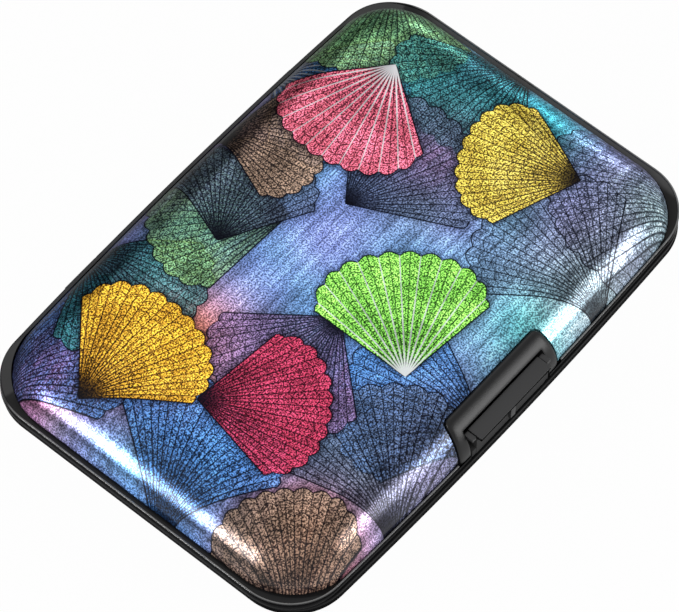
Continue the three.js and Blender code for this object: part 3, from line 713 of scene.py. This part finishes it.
BASE_END_STEP = CASE_LENGTH / 2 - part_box("base_frame")[1].x / MM
base_ring = swung_clear(frame_ring(BASE_END_STEP, 0), lambda x: x < BARREL_SPLIT)
outer_side = base_ring[:, :len(beaded_section()), 1]
outer_side -= BASE_PROUD * (outer_side < 0)
barrel_stretch = (SIGN_Y > 0) & (np.abs(frame_outline(0, 0)[0]) < BARREL_SPLIT)
barrel_room = BARREL_RADIUS + BARREL_CROWN + BARREL_GAP
beside_barrel = barrel_stretch[:, None] & (base_ring[..., 2] < barrel_room + BARREL_SHELF)
base_ring[beside_barrel, 1] = np.minimum(base_ring[beside_barrel, 1], HINGE_Y - BARREL_RADIUS)
pocket = front_middle & (FIXED_X < WINDOW_HALF + HALF_COLUMN)
base_ring[pocket, :, 1] = np.minimum(base_ring[pocket, :, 1], FRONT + POCKET_SKIN)
base_ring[pocket, :, 2] = np.minimum(base_ring[pocket, :, 2], BEAD_MIDDLE[1] + BEAD_RADIUS)
framed(lofted("base_frame_ring", turned_over(base_ring[:, ::-1]), closed=True), "base")
for side, start, end in left_and_right(BARREL_SPLIT, BARREL_HALF):
    framed(knuckle(f"base_knuckle_{side}", start, end), "base")
cheek_outer = WINDOW_HALF + CHEEK_WIDTH
pocket_back = FRONT + POCKET_BACK
cheek_front = FRONT + CHEEK_FRONT
for side, start, end in left_and_right(WINDOW_HALF, cheek_outer):
    cheek = block(
        f"latch_cheek_{side}", (start, cheek_front, -POCKET_DEPTH), (end, pocket_back, -POCKET_RIM))
    framed(cheek, "base")
latch_wall = block(
    "latch_wall", (-cheek_outer, pocket_back, -POCKET_DEPTH),
    (cheek_outer, pocket_back + POCKET_WALL, -POCKET_RIM))
framed(latch_wall, "base")

# Hinge rod and latch rod. Drawn steel, cut to length with a small chamfer, and pressed into the end
# knuckles and the cheeks.
ROD_CHAMFER = 0.25
STEEL = (0.56, 0.57, 0.58, 1)
DRAW_MARKS = (1.0, 3.0, (0.03, 4, 4))
drawn_steel = mottled("drawn_steel", STEEL, 0.2, 0.16, DRAW_MARKS, Metallic=1.0)


def steel_rod(name, node):
    """A rod along X with chamfered ends, in the box of its modelled part."""
    low, high = (np.array(corner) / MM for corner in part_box(node))
    radius = (high[1] - low[1]) / 2
    chamfer = radius * ROD_CHAMFER
    x = np.array([low[0], low[0] + chamfer, high[0] - chamfer, high[0]])
    size = np.array([radius - chamfer, radius, radius, radius - chamfer])
    return turned(name, x, size, (low + high)[1:] / 2 - [0, PARTING], 32)


fitted(steel_rod("hinge_rod", "hinge_pin"), drawn_steel, "base", "steel", "hinge_pin")
fitted(steel_rod("latch_rod", "latch_pin"), drawn_steel, "base", "steel", "latch_pin")

# Latch strip. Spring steel bent into three flats: one against the pocket's wall, a slope, and one that
# # presses on the back of the tongue.
strip_low, strip_high = (np.array(corner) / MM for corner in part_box("latch_spring"))
STRIP_THICK = 0.3
STRIP_BEND = STRIP_THICK * 0.8
STRIP_SLOPE = (-1.3, -0.9, 1.5, 1.9)
strip_path = np.array([
    [strip_high[1] - STRIP_THICK / 2, strip_low[2] - PARTING],
    [strip_high[1] - STRIP_THICK / 2, STRIP_SLOPE[0]],
    [strip_high[1] - STRIP_BEND, STRIP_SLOPE[1]],
    [strip_low[1] + STRIP_BEND, STRIP_SLOPE[2]],
    [strip_low[1] + STRIP_THICK / 2, STRIP_SLOPE[3]],
    [strip_low[1] + STRIP_THICK / 2, strip_high[2] - PARTING],
])


def band(name, path, thick, low_x, high_x):
    """A flat strip of even thickness along a path of [y, z] points, from low_x to high_x."""
    step = np.gradient(path, axis=0)
    normal = np.column_stack([-step[:, 1], step[:, 0]]) / np.hypot(*step.T)[:, None]
    sides = [path + normal * thick / 2, path - normal * thick / 2]
    loop = np.stack([sides[0], sides[0], sides[1], sides[1]], axis=1)
    return lofted(name, along_x([[low_x], [high_x], [high_x], [low_x]], loop)[:, ::-1])


latch_strip = band("latch_strip", strip_path, STRIP_THICK, strip_low[0], strip_high[0])
fitted(latch_strip, drawn_steel, "base", "steel", "latch_spring")
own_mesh(latch_strip)

# Latch arch. A satin black plastic arch let into the notch of the lid cover, standing a little proud of the
# roll, with a window in front for the tongue. Its legs stand on the lid frame's ledge.
WINDOW_SILL = math.radians(38)
WINDOW_CORNER = 0.25
SILL_ROUND = 0.03
SILL_DEPTH = -0.15
LEG_SLOPE = 0.95
SLOPE_FROM, SLOPE_OVER = math.radians(10), math.radians(15)
ARCH_GREY = (0.010, 0.010, 0.0105, 1)
arch_plastic, arch_sockets, arch_place = finish(
    "arch_plastic", Base_Color=ARCH_GREY, Roughness=0.33, Specular_IOR_Level=0.33)
roughened(arch_sockets, arch_place, 0.10, 0.03, 2.5)


def roll_point(angle, out):
    """A point of the lid cover's front roll and its height, moved out square to the surface. Below the rim
    the roll goes on straight down."""
    rise = PARTING - COVER_RIM
    run = np.where(angle > 0, 1 - np.cos(angle), 0)
    normal = np.stack([-rise * np.cos(angle), ROLL_ACROSS * np.clip(np.sin(angle), 0, None)], -1)
    normal /= np.linalg.norm(normal, axis=-1, keepdims=True)
    y = -COVER_HALF_WIDTH + ROLL_ACROSS * run + out * normal[..., 0]
    z = COVER_RIM + rise * np.sin(angle) + out * normal[..., 1]
    return y, z


def roll_angle(depth):
    """The place on the front roll that lies a depth behind the front of the case."""
    return np.arccos(1 - (depth - CASE_WIDTH / 2 + COVER_HALF_WIDTH) / ROLL_ACROSS)


def arch_path(count):
    """Inner and outer edge of the arch, as pairs of x and roll angle, from the left foot up and over to the
    right foot: two legs, two round corners and the top between them."""
    leg = np.linspace(0, 1, count)
    turn = leg[1:] * math.pi / 2
    straight = ARCH_DEPTH - ARCH_CORNER
    rise = roll_angle(straight) * leg
    depth = CASE_WIDTH / 2 - COVER_HALF_WIDTH + ROLL_ACROSS * (1 - np.cos(rise))
    lean = (ARCH_FOOT_HALF - ARCH_TOP_HALF) * depth / straight
    outer_leg = np.column_stack([lean - ARCH_FOOT_HALF, rise])
    outer_turn = np.column_stack([
        ARCH_CORNER * (1 - np.cos(turn)) - ARCH_TOP_HALF,
        roll_angle(straight + ARCH_CORNER * np.sin(turn))])
    inner_leg = np.column_stack([np.full(count, -WINDOW_HALF), (WINDOW_SILL - SILL_ROUND) * leg])
    inner_turn = np.column_stack([
        WINDOW_CORNER * (1 - np.cos(turn)) - WINDOW_HALF, WINDOW_SILL - SILL_ROUND * (1 - np.sin(turn))])
    middle = leg[1:-1, None]
    whole = []
    for side in (np.concatenate([inner_leg, inner_turn]), np.concatenate([outer_leg, outer_turn])):
        mirrored = side[::-1] * [-1, 1]
        whole.append(np.concatenate([side, side[-1] + (mirrored[0] - side[-1]) * middle, mirrored]))
    return whole


arch_inner, arch_outer = arch_path(14)
# The arch's section from the window's edge to the notch: share of the way across, height over the roll
arch_share = np.array([0, 0, 0.01, 0.04, 0.2, 0.4, 0.6, 0.76, 0.88, 0.95, 0.985, 1, 1, 0.5])
arch_height = np.array(
    [-1.1, 0.50, 0.575, 0.60, 0.61, 0.60, 0.58, 0.54, 0.46, 0.34, 0.16, -0.1, -0.7, -0.7])
arch_flat = arch_inner[:, None] + (arch_outer - arch_inner)[:, None] * arch_share[:, None]
arch_out = np.tile(arch_height, (len(arch_flat), 1))
over_window = np.abs(arch_inner[:, 0]) < WINDOW_HALF - 2 * HALF_COLUMN
arch_out[over_window, 0] = SILL_DEPTH
leg_slope = LEG_SLOPE * np.clip((arch_inner[:, 1] - SLOPE_FROM) / SLOPE_OVER, 0, 1)
arch_flat[~over_window, 0, 0] -= (np.sign(arch_inner[:, 0]) * leg_slope)[~over_window]
arch_y, arch_z = roll_point(arch_flat[..., 1], arch_out)
latch_arch = lofted("latch_arch", np.stack([arch_flat[..., 0], arch_y, arch_z], -1)[:, ::-1], sharp=50)
fitted(latch_arch, arch_plastic, "lid", "frame_plastic", "latch_housing")

# Latch tongue. A moulded black tongue that turns on the latch rod: a foot, a panel, and a flat press tab
# # that stands proud in the arch's window, with a small rib under its lip. The foot, panel, neck and boss
# # take a separately toned copy of the tab's plastic as painted shade, and a black strip under the tab's
# # plate is a painted shadow.
tongue_low, tongue_high = (np.array(corner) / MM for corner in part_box("latch_tongue"))
PIVOT_Y = (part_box("latch_pin")[0].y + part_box("latch_pin")[1].y) / 2 / MM
PIVOT_Z = (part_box("latch_pin")[0].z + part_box("latch_pin")[1].z) / 2 / MM - PARTING
TAB_HALF = 9.35
FOOT_HALF = tongue_high[0]
TONGUE_TOP = tongue_high[2] - PARTING - 0.07
LONGEST_CURVE = 0.45
CURVE_POINTS = 5
TAB_GREY = (0.024, 0.024, 0.025, 1)
tab_plastic, tab_sockets, tab_place = finish("tab_plastic", Base_Color=TAB_GREY, Roughness=0.48)
roughened(tab_sockets, tab_place, 0.12, 0.03, 3.0)


def softened(points, radius):
    """A closed outline with each corner replaced by a curve that starts and ends radius from it, or less
    beside a short side."""
    points = np.asarray(points, float)[:, None]
    ends = []
    for shift in (1, -1):
        away = np.roll(points, shift, 0) - points
        length = np.linalg.norm(away, axis=-1, keepdims=True)
        ends.append(points + away / length * np.minimum(radius, length * LONGEST_CURVE))
    t = np.linspace(0, 1, CURVE_POINTS)[:, None]
    curve = ends[0] * (1 - t) ** 2 + points * 2 * t * (1 - t) + ends[1] * t ** 2
    return curve.reshape(-1, 2)


def bar(name, section, low_x, high_x, radius=0.15, edge=0.12):
    """A bar along X whose section is an outline of [y, z] points with softened corners. Its ends are drawn
    in by a quarter circle of radius edge."""
    loop = softened(section, radius)
    step = np.roll(loop, -1, 0) - np.roll(loop, 1, 0)
    normal = np.column_stack([step[:, 1], -step[:, 0]]) / np.linalg.norm(step, axis=1)[:, None]
    area = np.sum(loop[:, 0] * np.roll(loop[:, 1], -1) - loop[:, 1] * np.roll(loop[:, 0], -1))
    normal *= np.sign(area)
    turn = np.linspace(0, math.pi / 2, 5)
    inset = edge * (1 - np.sin(turn))
    x = np.concatenate([low_x + edge * (1 - np.cos(turn)), high_x - edge * (1 - np.cos(turn[::-1]))])
    drawn = np.concatenate([inset, inset[::-1]])
    rows = along_x(x[:, None, None], loop - normal * drawn[:, None, None])
    return lofted(name, rows if area > 0 else rows[:, ::-1])


tongue_back = FRONT + 3
panel_face = FRONT + 0.25
foot_face = panel_face + 0.08
plate_back = FRONT + 2.25
tab_lip = tongue_low[1] - 0.25
tab_head = FRONT + 1.8
TAB_LIP_TOP = 6.4
PLATE_UNDER = 5.9
GAP_UNDER = 5.4
TAB_UNDER = 4.6
SHOULDER = 2.0
NECK_TOP = 4.1
PANEL_FOOT = 0.12
RIB_FOOT = 0.8
RIB_PROUD = 0.5
RIB_HALF = 0.6
RIB_ROOT = 0.5
BOSS_RADIUS = 1.05
NECK_DEPTH = 0.8
NECK_FOOT = 0.5
LIP_UNDERCUT = 0.35
LIP_EDGE = 0.14
LIP_BACK = 0.5
SHADOW_STRIP_SETBACK = 0.12
SHADOW_STRIP_BACK = 0.3
APART = 0.05
# A separately toned copy of the tab's plastic for the panel, foot, neck and boss: painted shade
PANEL_PAINTED_SHADE = (0.042, 0.042, 0.0425, 1)
panel_plastic_painted_shade = mottled("panel_plastic_painted_shade", PANEL_PAINTED_SHADE, 0.4, 0.2, (2.0,), Specular_IOR_Level=0.02)
# A matte near-black for the painted shadow strip under the tab's plate
PAINTED_SHADOW_BLACK = (0.002, 0.002, 0.002, 1)
painted_shadow_plastic = mottled("painted_shadow_plastic", PAINTED_SHADOW_BLACK, 0.8, 0.2, (2.0,), Specular_IOR_Level=0.0)
panel_pieces = (
    bar("tongue_foot", [
        (PIVOT_Y - BOSS_RADIUS, PIVOT_Z), (PIVOT_Y - BOSS_RADIUS, PANEL_FOOT), (foot_face, PANEL_FOOT),
        (foot_face, SHOULDER), (tongue_back, SHOULDER), (tongue_back, PIVOT_Z),
    ], -FOOT_HALF, FOOT_HALF),
    bar("tongue_panel", [
        (tongue_back - APART, PANEL_FOOT + APART), (panel_face, PANEL_FOOT + APART), (panel_face, TAB_UNDER),
        (tab_lip + LIP_BACK, GAP_UNDER + 2 * APART), (plate_back - 2 * APART, GAP_UNDER + 2 * APART),
        (plate_back - 2 * APART, NECK_TOP - 2 * APART), (tongue_back - APART, NECK_TOP - 2 * APART),
    ], -TAB_HALF + 2 * APART, TAB_HALF - 2 * APART, radius=0.08),
    bar("tongue_neck", [
        (tongue_back + APART, SHOULDER - NECK_FOOT), (tongue_back - NECK_DEPTH, SHOULDER - NECK_FOOT),
        (tongue_back - NECK_DEPTH, NECK_TOP), (tongue_back + APART, NECK_TOP),
    ], -TAB_HALF + APART, TAB_HALF - APART),
    bar("tongue_boss", arc((PIVOT_Y, PIVOT_Z), BOSS_RADIUS, 0, 345, 24), -FOOT_HALF, FOOT_HALF,
        radius=0.05),
)
tab_pieces = (
    bar("tongue_plate", [
        (plate_back, PLATE_UNDER), (tab_lip + LIP_UNDERCUT, PLATE_UNDER), (tab_lip, TAB_LIP_TOP - LIP_EDGE),
        (tab_lip, TAB_LIP_TOP), (tab_head, TONGUE_TOP), (plate_back, TONGUE_TOP),
    ], -TAB_HALF, TAB_HALF, radius=0.06, edge=0.08),
    bar("tongue_rib", [
        (tongue_back - RIB_ROOT, TAB_UNDER + RIB_PROUD), (panel_face - RIB_PROUD, TAB_UNDER + RIB_PROUD),
        (panel_face - RIB_PROUD, RIB_FOOT + RIB_PROUD), (panel_face, RIB_FOOT),
        (tongue_back - RIB_ROOT, RIB_FOOT),
    ], -RIB_HALF, RIB_HALF, radius=0.08, edge=0.06),
)
# A black strip filling the gap between the tab's plate and the panel: a painted shadow
painted_shadow_pieces = (
    bar("tongue_painted_shadow", [
        (plate_back - SHADOW_STRIP_BACK, GAP_UNDER), (tab_lip + SHADOW_STRIP_SETBACK, GAP_UNDER),
        (tab_lip + SHADOW_STRIP_SETBACK, PLATE_UNDER + APART), (plate_back - SHADOW_STRIP_BACK, PLATE_UNDER + APART),
    ], -TAB_HALF + APART, TAB_HALF - APART, radius=0.03, edge=0.03),
)
tongue_looks = ((panel_plastic_painted_shade, panel_pieces), (tab_plastic, tab_pieces), (painted_shadow_plastic, painted_shadow_pieces))
for tongue_plastic, tongue_pieces in tongue_looks:
    for tongue_piece in tongue_pieces:
        fitted(tongue_piece, tongue_plastic, "tongue", "tab_plastic", "latch_tongue")

# Latch ledges. Two short black ledges moulded with the arch, one in each end of its window. They fill the
# room beside the press tab, a little lower than the tab.
LEDGE_INNER, LEDGE_OUTER = 9.5, 10.5
LEDGE_LOW = 0.25
LEDGE_SETBACK = 1.1
ledge_front = tab_lip + LEDGE_SETBACK
ledge_back = plate_back - 2 * APART
ledge_section = [
    (ledge_back, GAP_UNDER), (ledge_front, GAP_UNDER), (ledge_front, TAB_LIP_TOP - LEDGE_LOW),
    (tab_head, TONGUE_TOP - LEDGE_LOW), (ledge_back, TONGUE_TOP - LEDGE_LOW),
]
for side, start, end in left_and_right(LEDGE_INNER, LEDGE_OUTER):
    ledge = bar(f"latch_ledge_{side}", ledge_section, start, end, radius=0.06, edge=0.06)
    fitted(ledge, tab_plastic, "lid", "frame_plastic", "latch_housing")

# Accordion leaves. Thin sheets of dark translucent plastic with round corners, one above the other. The
# first is taped to the base cover and the last to the lid cover, and the rest fan out between them.
LEAF_CORNER = 4
LEAF_EDGE = 0.18
LEAF_DARK = (0.030, 0.032, 0.036, 1)
leaf_plastic = mottled("leaf_plastic", LEAF_DARK, 0.32, 0.2, (1.4, 3.0))


def slab(name, node, corner, edge):
    """A plate with round corners in plan and a rounded edge, filling the box of its modelled part."""
    low, high = (np.array(place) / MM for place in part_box(node))
    turn = np.linspace(0, math.pi / 2, 4)
    inset = np.concatenate([edge * (1 - np.sin(turn)), edge * (1 - np.sin(turn[::-1]))])
    rise = edge * (1 - np.cos(turn))
    z = np.concatenate([low[2] + rise, high[2] - rise[::-1]]) - PARTING
    angle = np.radians(np.concatenate([np.linspace(start, start + 90, 9) for start in (0, 90, 180, 270)]))
    sign_x = np.repeat([1, -1, -1, 1], 9)
    sign_y = np.repeat([1, 1, -1, -1], 9)
    half = (high - low)[:2] / 2
    middle = (high + low)[:2] / 2
    reach = (corner - inset)[:, None]
    x = middle[0] + sign_x * (half[0] - corner) + reach * np.cos(angle)
    y = middle[1] + sign_y * (half[1] - corner) + reach * np.sin(angle)
    return lofted(name, np.stack([x, y, np.broadcast_to(z[:, None], x.shape)], -1))


LEAF_COUNT = 8
for number in range(1, LEAF_COUNT + 1):
    body = {1: "base", LEAF_COUNT: "lid"}.get(number, f"leaf_{number}")
    sheet = slab(f"leaf_{number}_sheet", f"leaf_{number}", LEAF_CORNER, LEAF_EDGE)
    fitted(sheet, leaf_plastic, body, "leaf_plastic", f"leaf_{number}")

# Accordion gussets. A thin film folded outwards between each two leaves, welded to their edges along both
# # sides and the spine.
FILM_THICK = 0.2
FILM_LAP = 0.1
FILM_SEAT = 0.18
FILM_TUCK = 0.04
FILM_END = 4.5
FILM_BOW = 0.06
LID_SWING = math.radians(60)
FILM_GREY = (0.05, 0.053, 0.058, 1)
film_plastic = mottled("film_plastic", FILM_GREY, 0.3, 0.2, (0.8, 3.0))

leaf_low, leaf_high = (np.array(corner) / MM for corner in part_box("leaf_1"))
LEAF_HALF, LEAF_FRONT, LEAF_BACK = leaf_high[0], leaf_low[1], leaf_high[1]
LEAF_THICK = leaf_high[2] - leaf_low[2]
leaf_middle = [(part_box(f"leaf_{n}")[0].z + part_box(f"leaf_{n}")[1].z) / 2 / MM - PARTING
               for n in range(1, LEAF_COUNT + 1)]
LEAF_PITCH = leaf_middle[1] - leaf_middle[0]


def film_stations():
    """Places along the right side, the back and the left side of a leaf, with the outward direction."""
    side_y = np.linspace(LEAF_FRONT + FILM_END, LEAF_BACK - LEAF_CORNER, 24)[:-1]
    turn = np.linspace(0, math.pi / 2, 12)
    corner_x, corner_y = LEAF_HALF - LEAF_CORNER, LEAF_BACK - LEAF_CORNER
    x = np.concatenate([np.full(len(side_y), LEAF_HALF), corner_x + LEAF_CORNER * np.cos(turn)])
    y = np.concatenate([side_y, corner_y + LEAF_CORNER * np.sin(turn)])
    out = np.concatenate([np.zeros(len(side_y)), turn])
    both = ((x, -x[::-1]), (y, y[::-1]), (out, math.pi - out[::-1]))
    return [np.concatenate(sides) for sides in both]


def gusset(name, low, high):
    """The film between two leaves: at every station a chevron whose fold stands out by half of what the two
    leaves open there, so that it is drawn nearly flat at the widest swing."""
    x, y, out = film_stations()
    depth = (LEAF_PITCH - LEAF_THICK + (HINGE_Y - y) * LID_SWING / (LEAF_COUNT - 1)) / 2
    rise = np.linspace(0, 1, 9)
    outer = np.concatenate([rise, rise[-2::-1]])
    reach = depth[:, None] * outer * (1 - FILM_BOW * outer)
    z = np.linspace(low, high, len(outer))
    crease = depth[:, None] * FILM_THICK / (high - low)
    skin = np.concatenate([reach, np.clip(reach - crease, 0, None)[:, ::-1]], axis=1) - FILM_LAP
    inner_z = np.clip(z, low + FILM_TUCK, high - FILM_TUCK)
    level = np.concatenate([z, inner_z[::-1]])
    rows = np.stack([
        x[:, None] + skin * np.cos(out)[:, None],
        y[:, None] + skin * np.sin(out)[:, None],
        np.broadcast_to(level, skin.shape),
    ], -1)
    return lofted(name, rows[:, ::-1], thin=True)


def level_of_share(share):
    """The place between 0 and 1 where the smooth step 3t^2 - 2t^3 reaches a share."""
    return 0.5 - math.sin(math.asin(1 - 2 * share) / 3)


for number in range(1, LEAF_COUNT):
    low, high = leaf_middle[number - 1] + FILM_SEAT, leaf_middle[number] - FILM_SEAT
    film = gusset(f"gusset_{number}_film", low, high)
    film.data.materials.append(film_plastic)
    first, last = (level_of_share((number - 1 + step) / (LEAF_COUNT - 1)) for step in (0, 1))
    span = (high - low) / (last - first)
    start = low - first * span
    (start + PARTING) * MM
    (start + span + PARTING) * MM
    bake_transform(film)
    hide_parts(f"gusset_{number}")

# Pads. White foam tape, cut to a strip with round corners and sticky on both sides. One piece holds the first
# leaf to the base cover, and the other holds the last leaf to the lid cover.
PAD_CORNER = 3
PAD_EDGE = 0.2
FOAM_WHITE = (0.78, 0.77, 0.73, 1)
foam_tape, foam_sockets, foam_place = finish("foam_tape", Base_Color=FOAM_WHITE, Roughness=0.9)
roughened(foam_sockets, foam_place, 0.4, 0.1, 2.0)
for pad_body in ("base", "lid"):
    pad = slab(f"{pad_body}_tape", f"{pad_body}_pad", PAD_CORNER, PAD_EDGE)
    fitted(pad, foam_tape, pad_body, "foam", f"{pad_body}_pad")

# Stage. A pale painted floor just under the case. The camera sees it as nearly white, with a trace of the
# case's shade, and the polished pieces mirror it darker.
FLOOR_HALF = 3.0
FLOOR_DROP = 0.0002
FLOOR_GREY = (0.6, 0.6, 0.6, 1)
FLOOR_GLOW = 0.975
FLOOR_MIRROR = 0.4


def ray_kinds(tree):
    """1 for what the camera sees, and 1 for what a mirror or a clear piece shows, as two values."""
    path = tree.nodes.new("ShaderNodeLightPath").outputs
    kinds = ("Is Camera Ray", "Is Glossy Ray", "Is Transmission Ray")
    camera, glossy, clear = (Value(tree, path[kind]) for kind in kinds)
    return camera, glossy + clear


floor_mesh = bpy.data.meshes.new("floor")
floor_mesh.from_pydata(
    [(-FLOOR_HALF, -FLOOR_HALF, 0), (FLOOR_HALF, -FLOOR_HALF, 0), (FLOOR_HALF, FLOOR_HALF, 0),
     (-FLOOR_HALF, FLOOR_HALF, 0)], [], [(0, 1, 2, 3)])
floor = stood("floor", floor_mesh)
floor.location.z = cad_low.z - FLOOR_DROP
floor_paint = finish("floor_paint", Base_Color=FLOOR_GREY, Roughness=0.9)[0]
floor_tree = floor_paint.node_tree
floor_camera, floor_mirror = ray_kinds(floor_tree)
floor_glow = floor_camera.node("ShaderNodeEmission", {"Color": (1, 1, 1, 1), "Strength": 1.0})
floor_shown = floor_camera.node("ShaderNodeMixShader", {
    0: floor_camera * FLOOR_GLOW + floor_mirror * FLOOR_MIRROR,
    1: Value(floor_tree, floor_tree.nodes["Principled BSDF"].outputs[0]),
    2: floor_glow,
})
feed(floor_tree.nodes["Material Output"].inputs["Surface"], floor_shown)
floor_mesh.materials.append(floor_paint)

# Surround and lamps. A white room with a grey ceiling, dark between the panels that the rolled edges
# mirror, and three soft panels of light.
ROOM_LEVEL = 0.8
CEILING_LEVEL = 0.5
CEILING_DARKEST = 0.06
LAMP_DISTANCE = 1.0
# Darker and lighter stretches of the ceiling: direction, half width in degrees, change in level
CEILING_PATCHES = (
    ((0.404, 0.330, 0.853), 36, 0.60),
    ((-0.640, 0.340, 0.690), 15, -0.45),
    ((-0.938, 0.340, 0.075), 15, -0.45),
    ((0.400, -0.630, 0.670), 17, -0.35),
    ((0.390, 0.850, 0.300), 38, -0.45),
    ((0.800, 0.310, 0.510), 15, -0.35),
)
world = bpy.data.worlds.new("surround")
bpy.context.scene.world = world
world.use_nodes = True
world_tree = world.node_tree
world_camera, world_mirror = ray_kinds(world_tree)
direction = Value(world_tree, world_tree.nodes.new("ShaderNodeTexCoord").outputs["Generated"])
ceiling = CEILING_LEVEL
for heading, half_width, change in CEILING_PATCHES:
    nearness = direction.node(
        "ShaderNodeVectorMath", {0: direction, 1: heading}, 1, operation="DOT_PRODUCT")
    ceiling = ceiling + nearness.between(math.cos(math.radians(half_width)), 1) * change
ceiling = ceiling.math("MAXIMUM", CEILING_DARKEST)
seen = ROOM_LEVEL + world_mirror * (ceiling - ROOM_LEVEL)
shown = seen + world_camera * (1 - seen)
feed(world_tree.nodes["Background"].inputs["Color"], shown)


def softbox(name, heading, size, radiance):
    """A square lamp of an even radiance that faces the middle of the case from a heading."""
    lamp = bpy.data.lights.new(name, "AREA")
    lamp.size = size
    lamp.energy = radiance * math.pi * size ** 2
    holder = stood(name, lamp)
    holder.location = np.array(heading) * LAMP_DISTANCE
    holder.rotation_euler = (-holder.location).to_track_quat("-Z", "Y").to_euler()


softbox("left_panel", (-0.874, 0.340, 0.346), 0.24, 21.5)
softbox("front_panel", (0.415, -0.872, 0.260), 0.40, 6.7)
softbox("right_panel", (0.949, 0.310, 0.060), 0.24, 5.0)

# Camera. A long lens at the photograph's angle, aimed at the middle of the parting plane. The heading is
# turned about the case, the elevation is above the floor, and the roll is about the line of sight.
IMAGE_WIDTH = 679
SENSOR_WIDTH = 36
FOCAL_PIXELS = 4583
AZIMUTH, ELEVATION, ROLL = (math.radians(angle) for angle in (-50.716, 58.548, 0.926))
DISTANCE = 0.79303
AIM_RIGHT, AIM_DOWN = 3.72, -8.82
camera_data = bpy.data.cameras.new("camera")
camera_data.sensor_fit = "HORIZONTAL"
camera_data.sensor_width = SENSOR_WIDTH
camera_data.lens = FOCAL_PIXELS / IMAGE_WIDTH * camera_data.sensor_width
camera_data.shift_x = -AIM_RIGHT / IMAGE_WIDTH
camera_data.shift_y = AIM_DOWN / IMAGE_WIDTH
camera_data.clip_end = 20
level_reach = math.cos(ELEVATION)
away = np.array([
    math.sin(AZIMUTH) * level_reach, -math.cos(AZIMUTH) * level_reach, math.sin(ELEVATION)])
level = np.cross([0, 0, 1], away)
level /= np.linalg.norm(level)
upward = np.cross(away, level)
right = level * math.cos(ROLL) + upward * math.sin(ROLL)
up = upward * math.cos(ROLL) - level * math.sin(ROLL)
placed = np.eye(4)
placed[:3, :3] = np.column_stack([right, up, away])
placed[:3, 3] = away * DISTANCE + [0, 0, PARTING * MM]
camera = stood("camera", camera_data)
camera.matrix_world = Matrix(placed.tolist())
bpy.context.scene.camera = camera
bpy.context.scene.view_settings.view_transform = "Standard"
